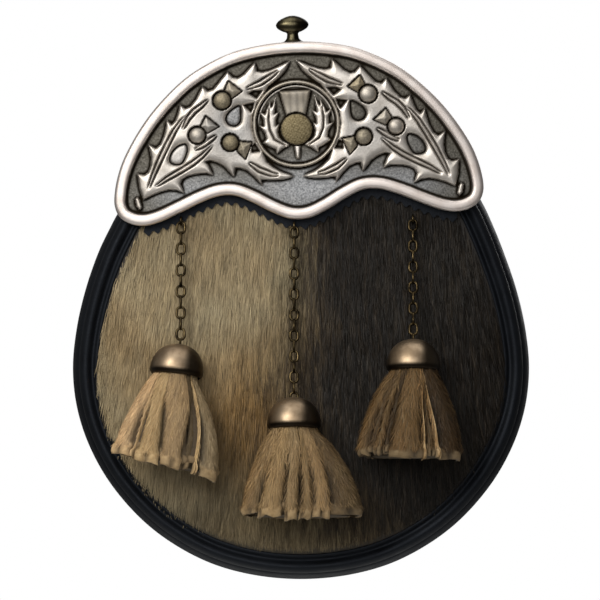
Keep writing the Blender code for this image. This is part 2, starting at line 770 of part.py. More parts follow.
def cantle_space(flat, height):
    """Points of the cantle in space, from its own frame and a height above its back."""
    u, v = flat[:, 0], flat[:, 1]
    c, s = math.cos(CANTLE_TILT), math.sin(CANTLE_TILT)
    x = CANTLE_X + u * c - v * s
    return np.stack([x, CANTLE_BACK + bow(x) - height, CANTLE_Z + u * s + v * c], axis=1)


def drawn_in(loop, distance):
    """A loop moved inwards, its sharp points no more than three times as far."""
    loop = np.asarray(loop, float)
    before = loop - np.roll(loop, 1, axis=0)
    after = np.roll(loop, -1, axis=0) - loop
    before /= np.linalg.norm(before, axis=1)[:, None]
    after /= np.linalg.norm(after, axis=1)[:, None]
    area = np.sum(loop[:, 0] * np.roll(loop[:, 1], -1) - np.roll(loop[:, 0], -1) * loop[:, 1])
    way = np.stack([-(before + after)[:, 1], (before + after)[:, 0]], axis=1) * np.sign(area)
    way /= np.linalg.norm(way, axis=1)[:, None]
    square = np.stack([-before[:, 1], before[:, 0]], axis=1) * np.sign(area)
    stretch = 1 / np.maximum(np.sum(way * square, axis=1), 1 / 3)
    return loop + way * stretch[:, None] * distance


rim_loops = [inset(cantle_line, step) for step, _ in RIM_RISE]
solid_loops = leaf_loops + hole_loops + cup_loops + stem_ends + thistle_loops + [CROWN, STALK]
loops = list(rim_loops) + solid_loops
for loop in leaf_loops + cup_loops + [CROWN]:
    loops.append(drawn_in(loop, RELIEF_SLOPE))
for loop in hole_loops:
    loops.append(drawn_in(loop, -RELIEF_SLOPE))
for loop in thistle_loops:
    loops.append(drawn_in(loop, THISTLE_SLOPE))
loops += [circle(u, v, r, 8) for u, v, r in berries]
loops += [circle(*RING_CENTRE, RING_RADIUS + k * RING_WIRE / 2, 22) for k in (-1, 0, 1)]
loops += [circle(*BULB, 14), circle(BULB[0], BULB[1], BULB[2] * 0.66, 10)]
grooves = groove_lines + thistle_grooves
for line in groove_lines:
    way = np.gradient(np.array(line), axis=0)
    way /= np.linalg.norm(way, axis=1)[:, None]
    square = np.stack([-way[:, 1], way[:, 0]], axis=1)
    grooves += [np.array(line) + square * RELIEF_SLOPE, np.array(line) - square * RELIEF_SLOPE]


def on_leaf(points):
    leaf = np.max([depth_in(points, loop) for loop in leaf_loops], axis=0)
    for loop in hole_loops:
        leaf = np.minimum(leaf, -depth_in(points, loop))
    return leaf > RELIEF_SLOPE + 0.8


inner = grid_inside(loops, RELIEF_SPACING, 1.2, on_leaf)
for line in groove_lines:
    inner = inner[open_distance(inner, line) > RELIEF_SLOPE + 0.8]
inner = np.concatenate([inner, [(u, v) for u, v, _ in berries], [(BULB[0], BULB[1])]])
flat, faces = mesh_between(loops, grooves, inner, lambda p: inside(p, cantle_line))
inner = grid_inside([cantle_line], 15.0, 4.0, lambda p: inside(p, cantle_line))
under = mesh_between([cantle_line], [], inner, lambda p: inside(p, cantle_line))
plate(
    "cantle",
    flat,
    faces,
    lambda p: cantle_space(p, CANTLE_PLATE + relief(p)),
    lambda p: cantle_space(p, np.zeros(len(p))),
    cast_metal,
    35,
    under,
)

# Toothed strip: it follows the lower edge of the cantle
lower = [p for p in cantle_line if p[1] < -25 and abs(p[0]) <= STRIP_END]
lower.sort(key=lambda p: p[0])
lower = np.array(lower)
reach = np.linspace(-STRIP_END + 2, STRIP_END - 2, 200)
edge = np.stack([reach, np.interp(reach, lower[:, 0], lower[:, 1])], axis=1)
along = np.concatenate([[0], np.cumsum(np.linalg.norm(np.diff(edge, axis=0), axis=1))])
teeth = int(along[-1] / TOOTH_PITCH)
saw = []
for k in range(2 * teeth + 1):
    at = along[-1] * k / (2 * teeth)
    u = np.interp(at, along, edge[:, 0])
    v = np.interp(at, along, edge[:, 1]) - STRIP_SHOWS + (TOOTH_DEPTH if k % 2 == 0 else 0)
    saw.append((u, v))
tuck = [(u, v + STRIP_TUCK) for u, v in edge[::-14]]
strip_line = np.array(saw + tuck)
flat, faces = mesh_between([strip_line], [], [], lambda p: inside(p, strip_line))
plate(
    "pinked_strip",
    flat,
    faces,
    lambda p: cantle_space(p, np.full(len(p), CANTLE_BACK - STRIP_BACK + STRIP_THICK)),
    lambda p: cantle_space(p, np.full(len(p), CANTLE_BACK - STRIP_BACK)),
    black_leather,
)

# Finial
points = []
c, s = math.cos(CANTLE_TILT), math.sin(CANTLE_TILT)
knob_y = CANTLE_BACK - (CANTLE_PLATE + 0.7) / 2
for up, wide, deep in KNOB_LINE:
    v = CANTLE_HALF[0][1] + GAP + up
    for k in range(KNOB_SIDES):
        turn = 2 * math.pi * k / KNOB_SIDES
        u = KNOB_U + wide * math.cos(turn)
        points.append((CANTLE_X + u * c - v * s, knob_y + deep * math.sin(turn), CANTLE_Z + u * s + v * c))
add_piece("top_knob", points, turned_faces(len(KNOB_LINE), KNOB_SIDES), dark_brass, 50)

# Chains: each link hangs in the one above it
wire = LINK_WIRE / 2
link_side = (LINK_WIDTH - LINK_WIRE) / 2
link_end = LINK_END * link_side
tassel_rows = {row[0]: row for row in TASSELS}
for name, x, staple_z, count, pitch, on_strip in CHAINS:
    link_half = (pitch + LINK_PLAY + LINK_WIRE) / 2
    link_bend = link_half - link_side
    base = (STRIP_BACK - STRIP_THICK if on_strip else PANEL_FRONT) + float(bow(x)) - GAP
    crown = base - STAPLE_OUT
    bend = [
        (x, crown + STAPLE_HALF - STAPLE_HALF * math.sin(t), staple_z + STAPLE_HALF * math.cos(t))
        for t in np.linspace(0, math.pi, 6)
    ]
    path = [(x, base, staple_z + STAPLE_HALF)] + bend + [(x, base, staple_z - STAPLE_HALF)]
    points, faces = tube_mesh(path, (1, 0, 0), wire, 6, False)
    add_piece("chain_staple_" + name, points, faces, dark_brass, 60)
    cap_tilt, tilt, shift, half, length = tassel_rows[name][1:]
    side, plumb = leaning(cap_tilt)
    down = plumb * math.cos(CAP_FORWARD) + np.array([0, -math.sin(CAP_FORWARD), 0])
    ahead = np.cross(down, side)
    # the chain runs straight from the staple to the eye of its cap, which rests on the hide
    seat = LINK_WIRE + LINK_PLAY
    top = np.array([x, crown + seat, staple_z - STAPLE_HALF + seat])
    reach = 2 * link_half + (count - 1) * pitch
    foot_y = crown
    for _ in range(8):
        foot = np.array([x, foot_y, top[2] - math.sqrt(reach**2 - (foot_y - top[1]) ** 2)])
        way = (foot - top) / np.linalg.norm(foot - top)
        eye = foot - way * seat + down * EYE_RADIUS
        crest = eye + down * EYE_RADIUS * EYE_SHOWS
        shell = np.concatenate(turned(crest, down, side, ahead, CAP_OUTER, CAP_SIDES))
        foot_y += float(np.min(panel_face(shell[:, [0, 2]]) - shell[:, 1])) - CAP_STANDS_OFF
    front = np.cross(way, (1, 0, 0))
    for i in range(count):
        middle = top + way * (link_half + i * pitch)
        across, normal = ((np.array([1.0, 0, 0]), front) if i % 2 == 0 else (front, np.array([1.0, 0, 0])))
        shape = [
            (link_half, link_end), (link_half, -link_end), (link_bend, -link_side),
            (-link_bend, -link_side), (-link_half, -link_end), (-link_half, link_end),
            (-link_bend, link_side), (link_bend, link_side),
        ]
        path = [middle + way * a + across * b for a, b in shape]
        points, faces = tube_mesh(path, normal, wire, LINK_SIDES, True)
        add_piece(f"link_{name}_{i + 1:02d}", points, faces, dark_brass, 75)
    # cap: a pressed dome whose eye takes the last link
    outline = CAP_OUTER + CAP_INNER
    points = [crest + down * outline[0][0]]
    points += [p for ring in turned(crest, down, side, ahead, outline[1:-1], CAP_SIDES) for p in ring]
    points.append(crest + down * outline[-1][0])
    faces = []
    rows = len(outline) - 2
    for k in range(CAP_SIDES):
        m = (k + 1) % CAP_SIDES
        faces.append((0, 1 + k, 1 + m))
        faces.append((len(points) - 1, 1 + (rows - 1) * CAP_SIDES + m, 1 + (rows - 1) * CAP_SIDES + k))
        for r in range(rows - 1):
            a, b = 1 + r * CAP_SIDES, 1 + (r + 1) * CAP_SIDES
            faces.append((a + k, b + k, b + m, a + m))
    cap = add_piece("bell_cap_" + name, points, faces, aged_bronze, 50)
    across = ahead if count % 2 == 1 else side
    flat_way = side if count % 2 == 1 else ahead
    turns = np.linspace(0, 2 * math.pi, 8, endpoint=False)
    path = [eye + EYE_RADIUS * (down * math.cos(t) + across * math.sin(t)) for t in turns]
    points, faces = tube_mesh(path, flat_way, wire, 6, True)
    fused(cap, add_piece("eye", points, faces, aged_bronze, 60))
    # tassel: hide strips fused to a neck in the cap
    mouth_at = crest + down * CAP_INNER[0][0]
    side, plumb = leaning(tilt)
    slots = [i / 3 for i in range(3 * STRIPS)]
    rings = turned(mouth_at, down, side, ahead, TASSEL_NECK, len(slots))
    for share, flare, part in TASSEL_LINE:
        ring = []
        for s in slots:
            turn = 2 * math.pi * s / STRIPS
            strip = int(s)
            valley = 1 - (1 - STRIP_VALLEY) * min(1, share * 2.2) * (1 if s == strip else 0)
            wide = (TASSEL_MOUTH + (half - TASSEL_MOUTH) * flare) * valley * part
            deep = (TASSEL_MOUTH + (TASSEL_DEPTH - TASSEL_MOUTH) * flare) * valley * part
            drop = length * share - FOOT_RISE[strip] * share**2
            forward = np.array([0, -math.sin(CAP_FORWARD) * drop * (1 - share / 2), 0])
            ring.append(mouth_at + plumb * drop + forward
                        + side * (wide * math.cos(turn) + shift * flare) + ahead * deep * math.sin(turn))
        rings.append(ring)
    points = np.array([p for ring in rings for p in ring])
    limit = panel_face(points[:, [0, 2]]) - TASSEL_STANDS_OFF
    points[:, 1] = np.minimum(points[:, 1], limit)
    add_piece("tassel_" + name, points, turned_faces(len(rings), len(slots)), tan_hide, 35)
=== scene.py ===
"""Looks of a day-wear pouch with a cast metal cantle, a hair-on hide front, three chains and three hide tassels.

Lengths are millimetres until placed() turns them into metres. X runs to the viewer's right, -Y is the front
and +Z is up. Heights are read on the drawing's own scale, whose level ORIGIN_Z is the frame's height zero.
"""

import math

import bmesh
import bpy
import numpy as np
from mathutils import Matrix, Vector
from mathutils.geometry import delaunay_2d_cdt


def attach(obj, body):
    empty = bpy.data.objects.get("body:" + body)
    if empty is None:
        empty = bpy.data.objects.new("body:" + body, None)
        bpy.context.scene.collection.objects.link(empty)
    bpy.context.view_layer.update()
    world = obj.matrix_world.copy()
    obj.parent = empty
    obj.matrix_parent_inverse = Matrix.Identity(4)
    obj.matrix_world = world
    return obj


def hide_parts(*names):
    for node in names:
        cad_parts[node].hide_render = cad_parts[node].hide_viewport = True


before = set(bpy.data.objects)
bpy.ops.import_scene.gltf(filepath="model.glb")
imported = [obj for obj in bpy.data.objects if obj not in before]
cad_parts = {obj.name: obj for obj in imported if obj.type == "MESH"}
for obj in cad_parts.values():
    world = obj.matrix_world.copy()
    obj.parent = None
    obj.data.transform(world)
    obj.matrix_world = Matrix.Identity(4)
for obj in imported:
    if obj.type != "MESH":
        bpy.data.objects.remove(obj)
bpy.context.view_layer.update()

MM = 0.001
ORIGIN_Z = -16.0
# Draws of chance all start from this number
SEED = 11

# Depths, measured along Y at the middle of the pouch
BACK_FACE = 0.0
BACK_THICK = 2.5
GAP = 0.3
GUSSET_FRONT = -27.5
PANEL_FRONT = -31.0
PANEL_THICK = 2.5
BELLY = 8.5
BELLY_TOP = -25.0
BELLY_RISE = 45.0
BELLY_EDGE = 45.0
STRIP_BACK = -31.3
STRIP_THICK = 1.4
CANTLE_BACK = -33.3
CANTLE_PLATE = 2.2
BOW = 5.0
BOW_AT = 78.0
BACK_INSET = 3.0
PANEL_INSET = 9.1

# The cantle sits a little turned on the pouch
CANTLE_TILT = math.radians(2.6)
CANTLE_X = -2.2
CANTLE_Z = 17.4
LEAN_FROM = -40.0
LEAN_OVER = 38.0

POUCH_LINE = [  # height, half width
    (-174.5, 0.0), (-172.2, 22.9), (-166.0, 42.3), (-153.3, 62.8), (-136.5, 78.8), (-119.7, 88.8),
    (-102.9, 94.5), (-86.1, 96.4), (-69.3, 94.9), (-52.5, 91.1), (-35.7, 85.3), (-22.0, 79.2),
    (-12.6, 74.6), (-2.6, 73.0), (7.4, 69.0), (19.2, 61.4), (27.0, 54.2), (35.1, 45.6), (41.9, 34.0),
    (46.0, 20.0), (47.6, 8.0), (47.8, 0.0),
]
# Sides of the pouch's outline, in the solid and on the finished pieces
POUCH_STEPS = 54
FINE_STEPS = 324

GUSSET_SECTION = [  # share of the depth, distance in from the outer line: outside, then inside
    (0.0, 3.4), (0.25, 0.5), (0.52, 0.0), (0.8, 0.9), (0.93, 1.8), (1.0, 2.9),
    (1.0, 5.6), (0.52, 2.1), (0.0, 5.4),
]
BORDER_SECTION = [  # distance in from the outer line, depth: over the thick roll, groove and thin inner lip
    (3.1, -28.0), (2.9, -29.4), (3.3, -30.9), (4.3, -32.2), (5.5, -32.75), (6.7, -32.3), (7.7, -31.2),
    (8.6, -30.6), (9.3, -31.1), (9.9, -31.7), (10.6, -31.7), (11.1, -31.2), (10.8, -30.6), (9.6, -30.3),
    (8.9, -29.6), (8.4, -28.1), (6.0, -27.8),
]

# Cantle, in its own frame: u to the right, v up, from the middle of the ring
CANTLE_HALF = [  # u, v, left half from the top middle down to the bottom middle
    (0.0, 34.3), (-12.0, 33.6), (-25.0, 31.1), (-35.0, 27.1), (-45.0, 21.4), (-54.0, 13.8), (-62.0, 5.2),
    (-69.3, -5.2), (-74.4, -15.0), (-77.2, -25.0), (-77.5, -31.5), (-75.4, -36.2), (-70.6, -39.2),
    (-65.0, -40.0), (-59.0, -38.8), (-50.0, -35.2), (-41.0, -31.3), (-33.5, -29.0), (-27.0, -29.1),
    (-20.0, -32.1), (-12.0, -36.6), (-5.0, -39.6), (0.0, -40.3),
]
CANTLE_STEPS = 432
# Rolled rim: middle and half width of the roll, distances in from the edge, and its height
RIM_MIDDLE = 2.4
RIM_HALF = 2.5
RIM_HIGH = 3.1
# 2 would make the roll an ellipse, and more makes its crest flatter
RIM_FLAT = 3.1
RIM_ROWS = 26
CAST_SPACING = 0.3
LEAF_HIGH = 1.3
LEAF_SHOULDER = 0.7
# The blades rise on to a ridge this far in from their edge
LEAF_RIDGE = 3.4
LEAF_SWELL = 1.3
VEIN_CREST = 0.35
VEIN_AT = 1.0
VEIN_DEEP = 1.2
VEIN_HALF = 0.72

LEAF_LINE = [  # u, v
    (-1.0, 26.4), (-3.6, 25.5), (-6.5, 24.2), (-10.0, 22.8), (-13.0, 22.2), (-15.2, 22.7),
    (-15.9, 26.6), (-18.4, 24.3), (-20.8, 21.7), (-23.4, 20.2), (-25.4, 20.6),
    (-27.7, 23.2), (-31.4, 18.9), (-34.0, 16.0), (-36.3, 15.3),
    (-38.5, 17.5), (-41.4, 12.2), (-44.0, 9.2), (-46.0, 8.5),
    (-48.2, 10.1), (-49.4, 6.4), (-50.6, 3.5), (-52.1, 2.0),
    (-54.1, 4.2), (-54.7, 0.6), (-55.7, -2.9), (-57.3, -6.2), (-59.2, -7.6),
    (-62.3, -5.8), (-61.4, -11.5), (-61.7, -14.8), (-62.9, -17.6), (-64.5, -18.6),
    (-67.6, -17.9), (-66.9, -24.5), (-65.4, -29.3),
    (-61.5, -27.4), (-58.0, -26.2), (-54.5, -25.5), (-51.2, -25.8),
    (-47.9, -27.4), (-49.4, -23.2), (-48.6, -21.4), (-46.4, -20.1), (-43.0, -19.4), (-38.4, -19.2),
    (-35.3, -20.4), (-37.2, -15.9), (-38.4, -14.4), (-36.4, -14.0), (-33.6, -15.0), (-30.8, -16.8),
    (-26.8, -21.6), (-26.0, -17.6), (-24.0, -17.8), (-21.4, -18.9), (-18.6, -21.4),
    (-15.2, -25.5), (-15.3, -23.1), (-11.5, -23.3), (-8.0, -23.5), (-4.5, -23.1),
    (-1.6, -22.3), (-3.2, -21.3), (-6.6, -20.0), (-10.0, -17.9), (-12.6, -15.6),
    (-14.2, -11.5), (-17.0, -6.6), (-18.2, -1.0), (-17.9, 4.0), (-16.2, 8.4), (-12.4, 13.4),
    (-10.6, 16.0), (-8.2, 17.8), (-5.4, 20.0), (-3.2, 22.3),
]
LEAF_HOLES = [  # u, v
    [(-29.4, 2.8), (-28.7, 5.2), (-25.2, 8.1), (-23.0, 8.6), (-22.6, 4.4), (-23.4, 1.2), (-25.4, -0.1),
     (-28.2, 0.6)],
    [(-21.4, 8.7), (-17.2, 9.4), (-17.6, 7.4), (-18.6, 5.6)],
    [(-18.9, 13.4), (-17.2, 14.5), (-13.6, 14.4), (-16.0, 11.3)],
    [(-53.7, -12.0), (-52.2, -9.0), (-49.5, -6.9), (-46.6, -6.4), (-45.7, -8.2), (-46.5, -11.6),
     (-48.7, -14.9), (-51.8, -15.1), (-53.5, -14.0)],
    [(-19.2, -8.6), (-17.4, -7.6), (-15.6, -11.0), (-18.8, -11.2)],
]
BOSS_LIGHT = {  # which hole, how light the smooth boss in it is on the left and on the right
    0: (0.75, 0.05),
    3: (1.4, 0.25),
}
BOSS_STEPS = 40
GREYED = [  # u, v, half width, half height, how grey: where the leaves are oxidised between their edges
    (-28.0, -1.0, 13.0, 16.0, 0.85),
    (28.0, -3.0, 12.0, 14.0, 0.6),
    (-15.0, 20.0, 7.0, 4.0, 0.5),
    (-54.0, -20.0, 8.0, 6.0, 0.3),
]
LEAF_VEINS = [  # u, v
    [(-63.4, -25.4), (-60.8, -19.2), (-57.8, -13.0), (-54.4, -6.6), (-51.0, -0.8), (-48.0, 3.2),
     (-45.6, 5.4)],
    [(-47.6, -0.6), (-45.0, 4.2), (-42.4, 7.0), (-39.2, 9.2), (-36.0, 11.8)],
    [(-60.6, -24.2), (-55.0, -20.7), (-49.0, -17.6), (-44.0, -14.8), (-40.0, -12.0), (-34.8, -7.2)],
    [(-43.0, -9.2), (-38.6, -7.0), (-33.2, -3.4)],
    [(-20.6, -15.4), (-16.0, -18.8), (-11.0, -20.9), (-7.6, -21.4)],
    [(-20.4, 15.3), (-14.0, 17.6), (-10.0, 20.0), (-6.0, 22.6)],
]
BERRIES = [  # u, v, radius, how brassy on the left, how brassy on the right
    (-30.5, 11.0, 3.5, 0.75, 0.25),
    (-41.6, -3.1, 3.3, 0.2, 0.15),
    (-27.8, -6.8, 3.3, 0.8, 0.6),
]
CUPS = [  # u, v of the four corners
    [(-29.4, 14.8), (-27.4, 18.9), (-22.3, 14.5), (-26.2, 11.9)],
    [(-39.9, 0.6), (-37.6, 4.6), (-32.5, 0.1), (-37.3, -2.3)],
    [(-24.1, -6.5), (-18.9, -7.2), (-21.8, -13.8), (-24.9, -10.4)],
]
CUP_TINTS = [0.5, 0.1, 0.6, 0.8, 0.3, 0.6]  # how brassy: the three on the left, then the three on the right
STEM_END = [  # u, v
    (-69.0, -28.6), (-67.8, -27.8), (-66.8, -29.2), (-66.0, -32.4), (-67.0, -33.4), (-68.4, -32.0),
]
THISTLE_LEAF = [  # u, v, left leaf
    (-3.0, -9.2), (-6.0, -10.6), (-8.6, -12.8), (-8.9, -10.6), (-11.0, -9.6), (-14.2, -7.6), (-12.7, -6.0),
    (-13.2, -3.6), (-15.5, -0.2), (-13.5, -0.6), (-13.5, 2.0), (-15.0, 5.6), (-12.7, 4.4), (-11.8, 6.8),
    (-10.3, 9.6), (-10.1, 7.2), (-9.5, 7.8), (-8.0, 11.4), (-8.3, 7.0), (-8.7, 4.4), (-6.8, 5.2), (-8.1, 1.8),
    (-8.2, -0.6), (-6.9, 0.2), (-7.5, -3.4), (-7.0, -5.6), (-5.4, -7.4), (-3.0, -8.4),
]
THISTLE_VEIN = [(-11.0, 6.4), (-11.4, 1.8), (-11.0, -2.4), (-9.2, -6.4), (-4.6, -9.1)]  # u, v
CROWN = [(-6.3, 13.7), (6.9, 13.7), (4.1, 2.6), (-3.7, 2.6)]  # u, v
STALK = [(-1.2, -8.4), (1.7, -8.4), (1.2, -14.9), (-0.5, -14.9)]  # u, v
BULB = (0.2, -2.4, 6.5)  # u, v, radius
RING_CENTRE = (0.2, -0.2)
RING_RADIUS = 17.6
RING_WIRE = 1.1
# A second, fainter line inside the ring
RING_INNER = 15.9
MIDDLE = 0.2

# Heights of the cast work above its field: where a rounded form starts, and how far it swells from there
BOSS_LOW, BOSS_DOME = 0.5, 0.6
CUP_LOW, CUP_DOME = 1.7, 1.0
BERRY_LOW, BERRY_DOME = 1.1, 2.2
RING_LOW, RING_DOME = 1.2, 1.4
CROWN_LOW, CROWN_DOME = 0.8, 1.0
BULB_LOW, BULB_DOME = 1.4, 1.1
STEM_HIGH = 2.6
INNER_LINE_HIGH = 0.55
THISTLE_HIGH = 1.3
THISTLE_SWELL = 0.9
THISTLE_VEIN_DEEP = 1.3
STALK_HIGH = 1.6
CROWN_FLARE = 0.5
FLUTE_DEEP = 0.07
KNURL_DEEP = 0.09
# How brassy the ring, crown and bulb are, and how dark the last two
RING_BRASS = 0.35
CROWN_BRASS, CROWN_DARK = 0.4, 0.3
BULB_BRASS, BULB_DARK = 1.0, 0.16
# Where a painted reflection lightens the field to grey: u, v, half width, half height
FIELD_REFLECTION_MIDDLE = (4.0, -27.0, 24.0, 11.0)
FIELD_REFLECTION_CORNERS = [(-45.0, -27.0, 18.0, 9.0), (45.0, -27.0, 18.0, 9.0)]
CORNER_REFLECTION = 0.75

# Toothed strip below the cantle
STRIP_SHOWS = 4.4
STRIP_TUCK = 6.0
STRIP_END = 68.0
# It follows the part of the cantle's outline that lies below this height
STRIP_BELOW = -25.0
TOOTH_PITCH = 4.1
TOOTH_DEPTH = 1.7
TOOTH_STEPS = 8

# Finial on the top edge
KNOB_SIDES = 36
KNOB_U = 0.4
KNOB_LINE = [  # height above the cantle's edge, half width, half depth
    (-0.4, 4.6, 2.7), (0.2, 3.5, 2.4), (0.9, 2.8, 2.2), (1.8, 2.5, 2.1), (3.4, 2.5, 2.1), (4.2, 4.3, 2.9),
    (5.4, 6.2, 3.6), (6.9, 6.9, 3.9), (8.5, 5.9, 3.5), (9.8, 3.9, 2.5), (10.6, 1.6, 1.1), (10.7, 0.1, 0.1),
]

# Chains, caps and tassels
LINK_WIRE = 1.0
# The finished links' wire is a little fuller than the solids' five-sided one
LINK_ROUND = 1.15
LINK_WIDTH = 4.3
LINK_PLAY = 0.2
CHAINS = [  # name, x, z of the staple, links, link pitch, staple on the strip
    ("left", -50.4, -23.6, 11, 4.65, True),
    ("centre", -2.9, -25.7, 16, 4.42, True),
    ("right", 47.0, -22.7, 11, 4.6, False),
]
STAPLE_OUT = 3.0
STAPLE_HALF = 1.6
EYE_RADIUS = 1.6
EYE_SHOWS = 0.9
CAP_OUTER = [  # down from the top, radius
    (0.0, 0.0), (0.6, 4.0), (2.6, 7.6), (5.8, 10.0), (9.4, 11.1), (12.6, 11.2),
]
CAP_INNER = [  # down from the top, radius
    (12.6, 10.2), (7.6, 9.6), (4.4, 6.6), (3.2, 0.0),
]
CAP_SECTION = [  # down from the top, radius: outside to the rolled mouth, then inside
    (-0.9, 0.05), (-0.75, 2.2), (-0.1, 4.6), (1.0, 6.7), (2.5, 8.4), (4.3, 9.7), (6.3, 10.6), (8.2, 11.1),
    (9.8, 11.25), (11.0, 11.2), (11.8, 11.0), (12.4, 10.5), (12.6, 10.1), (12.2, 9.8), (10.0, 9.8),
    (7.6, 9.3), (5.2, 7.6), (3.8, 4.6), (3.2, 0.05),
]
# The caps are darker toward the right and round the outline, as painted shade, and from here down to the mouth,
# where they are tarnished and in painted shade
TARNISH_AND_SHADE_FROM = 9.6
# Sides of a cap, in the solid and on the finished piece
CAP_SIDES = 14
CAP_ROUND = 48
CAP_STANDS_OFF = 0.8
CAP_FORWARD = math.radians(8)
TASSELS = {  # tilt of cap, tilt of tassel, shift and half width at the foot, length below the cap
    "left": (7.0, 14.0, 4.4, 21.8, 39.5),
    "centre": (0.0, 0.0, 3.4, 24.2, 39.0),
    "right": (0.0, 0.0, -1.6, 20.6, 38.5),
}
TASSEL_DEPTH = 11.0
TASSEL_MOUTH = 8.4

# Front strips of each tassel. The shares run across its width, from -1 at the left to 1 at the right.
# Shade is each strip's lightness: partly the hide's own tone, partly painted shade that darkens the centre and
# right tassels and the recessed strips.
STRIP_ROWS = {
    # left at top, right at top, left at foot, right at foot, opens at, tone, shade, set back, longer, how much
    # of its width, from the right, is bare cut edge
    "left": [
        (-1.00, -0.78, -1.00, -0.71, 0.30, 0.95, 1.20, 0.0, -1.6, 0),
        (-0.76, -0.70, -0.67, -0.61, 0.45, 0.80, 1.10, 0.6, -1.0, 0.14),
        (-0.69, -0.34, -0.56, -0.10, 0.25, 0.35, 1.26, 0.0, -0.4, 0),
        (-0.33, 0.50, -0.09, 0.29, 0.35, 0.75, 0.80, 0.3, -0.8, 0),
        (0.54, 0.70, 0.33, 0.51, 0.20, 0.60, 0.24, 2.4, -1.6, 0),
        (0.71, 0.77, 0.56, 0.62, 0.20, 0.60, 1.15, 0.2, -0.6, 0.14),
        (0.79, 1.00, 0.69, 1.00, 0.30, 0.10, 0.88, 0.0, 0.0, 0),
    ],
    "centre": [
        (-1.00, -0.63, -1.00, -0.80, 0.35, 0.55, 0.74, 0.0, -3.4, 0),
        (-0.62, -0.26, -0.77, -0.36, 0.30, 0.45, 0.88, 0.0, -1.8, 0),
        (-0.24, 0.14, -0.32, -0.11, 0.25, 0.30, 0.80, 0.0, -0.2, 0),
        (0.18, 0.31, -0.07, 0.15, 0.40, 0.50, 0.64, 0.5, -0.4, 0),
        (0.33, 0.62, 0.18, 0.48, 0.30, 0.65, 0.72, 0.0, -1.2, 0),
        (0.63, 1.00, 0.50, 1.00, 0.35, 0.65, 0.34, 0.3, -2.8, 0),
    ],
    "right": [
        (-1.00, -0.82, -1.00, -0.86, 0.30, 0.50, 0.44, 0.0, -3.0, 0),
        (-0.81, -0.64, -0.85, -0.73, 0.20, 0.70, 0.22, 0.6, -3.6, 0),
        (-0.63, -0.48, -0.72, -0.59, 0.25, 0.50, 0.36, 0.2, -2.6, 0),
        (-0.47, -0.29, -0.57, -0.45, 0.15, 0.80, 0.13, 0.9, -3.4, 0),
        (-0.28, 0.26, -0.43, 0.24, 0.25, 0.50, 0.43, 0.0, -0.8, 0),
        (0.27, 0.34, 0.25, 0.33, 0.20, 0.75, 0.75, -0.2, -0.6, 1),
        (0.36, 0.39, 0.36, 0.54, 0.15, 0.50, 0.26, 1.2, -2.4, 0),
        (0.40, 0.46, 0.55, 0.63, 0.00, 0.75, 0.80, -0.2, -1.4, 1),
        (0.48, 1.00, 0.65, 1.00, 0.15, 0.80, 0.12, 0.6, -1.0, 0),
    ],
}
FUR = {  # length, lift and sway of the hair left on the strips, and how brown it is
    "left": (3.4, 0.6, 0.13, 0.0),
    "centre": (4.8, 1.5, 0.28, 0.15),
    "right": (5.4, 1.8, 0.32, 0.5),
}
# Strands to a square metre, their width, and the size of the locks they lie in
FUR_DENSITY = 2.6e6
FUR_WIDE = 0.22
FUR_LOCK = (0.9, 3.0, 12.0)
BACK_STRIPS = 6
HIDE_THICK = 1.5
# Points across and down a front strip, the last of them in its curled foot
ACROSS_STRIP = 9
DOWN_STRIP = 26
DOWN_FOOT = 6
# Strips of the inner layer, points down each, and how far in they and the core lie
INNER_STRIPS = 13
INNER_DOWN = 16
INNER_DEEP = 2.4
CORE_SIDES = 24
CORE_DEEP = 4.6
# Gap between two neighbouring strips where they part
SLIT = 0.8
# Share of a strip's length where its curled foot begins
FOOT_FROM = 0.88

# Back of the pouch
MOUTH = (37.0, -4.0, 26.0)  # half width, bottom, top
MOUTH_STEPS = 24
FLAP = (42.0, -34.0, 38.0)  # half width, bottom, top
FLAP_THICK = 2.0
FLAP_CORNER = 14.0
FLAP_TOP = [  # from the side, from the top
    (0.0, -8.0), (-1.6, -6.6), (-6.0, -5.2), (-14.0, -1.6), (-22.0, 2.0),
]
STITCH_PITCH = 3.2
THREAD_WIDE = 0.32
# Edges of cut leather are rubbed round to this radius
BURNISH = 0.7

# Hide front
HAIR_START = 11.7
HAIR_LENGTH = 10.0
COATS = [(1, HAIR_LENGTH, 0.9), (2, HAIR_LENGTH * 0.85, 1.5)]  # number, length and lift of the hair
# Strands to a square metre, their width, how far they sway and roll, and the size of the locks they lie in
HAIR_DENSITY = 1.25e6
HAIR_WIDE = 0.27
HAIR_SWAY = 0.09
HAIR_ROLL = 0.6
HAIR_LOCK = (1.5, 1000.0, 14.0)
HAIR_FLARE = 0.0015
# The hair has worn off a wider band at the bottom
WORN_FROM = -112.0
WORN_OVER = 48.0
WORN_WIDE = 2.3
DARKENING = [  # height, x where the blond ends, x where the dark begins
    (-174.0, -66.0, 98.0), (-157.0, -62.0, 84.0), (-132.0, -56.0, 34.0), (-99.0, -44.0, 20.0),
    (-75.0, -30.0, 16.0), (-60.0, -23.0, 15.0), (-31.0, -12.0, 15.0), (-20.0, -10.0, 14.0),
]
SHADED = [  # x, height, half width, half height, how much darker: dips in the hide's light
    (-33.0, -120.0, 15.0, 24.0, 0.36),
    (-46.0, -146.0, 34.0, 15.0, 0.46),
    (-22.0, -162.0, 22.0, 12.0, 0.28),
    (56.0, -142.0, 28.0, 18.0, 0.4),
]
# Where the hide is browner than the rest
BROWNER = [  # x, height, half width, half height, how brown
    (-24.0, -104.0, 20.0, 30.0, 0.95),
    (-66.0, -72.0, 22.0, 40.0, 0.2),
]

# Photograph's frame at the hide
FRAME_WIDE = 252.0
FRAME_X = -0.42
FRAME_Z = -40.7
FRAME_Y = -33.0
LENS = 500.0
SENSOR = 36.0

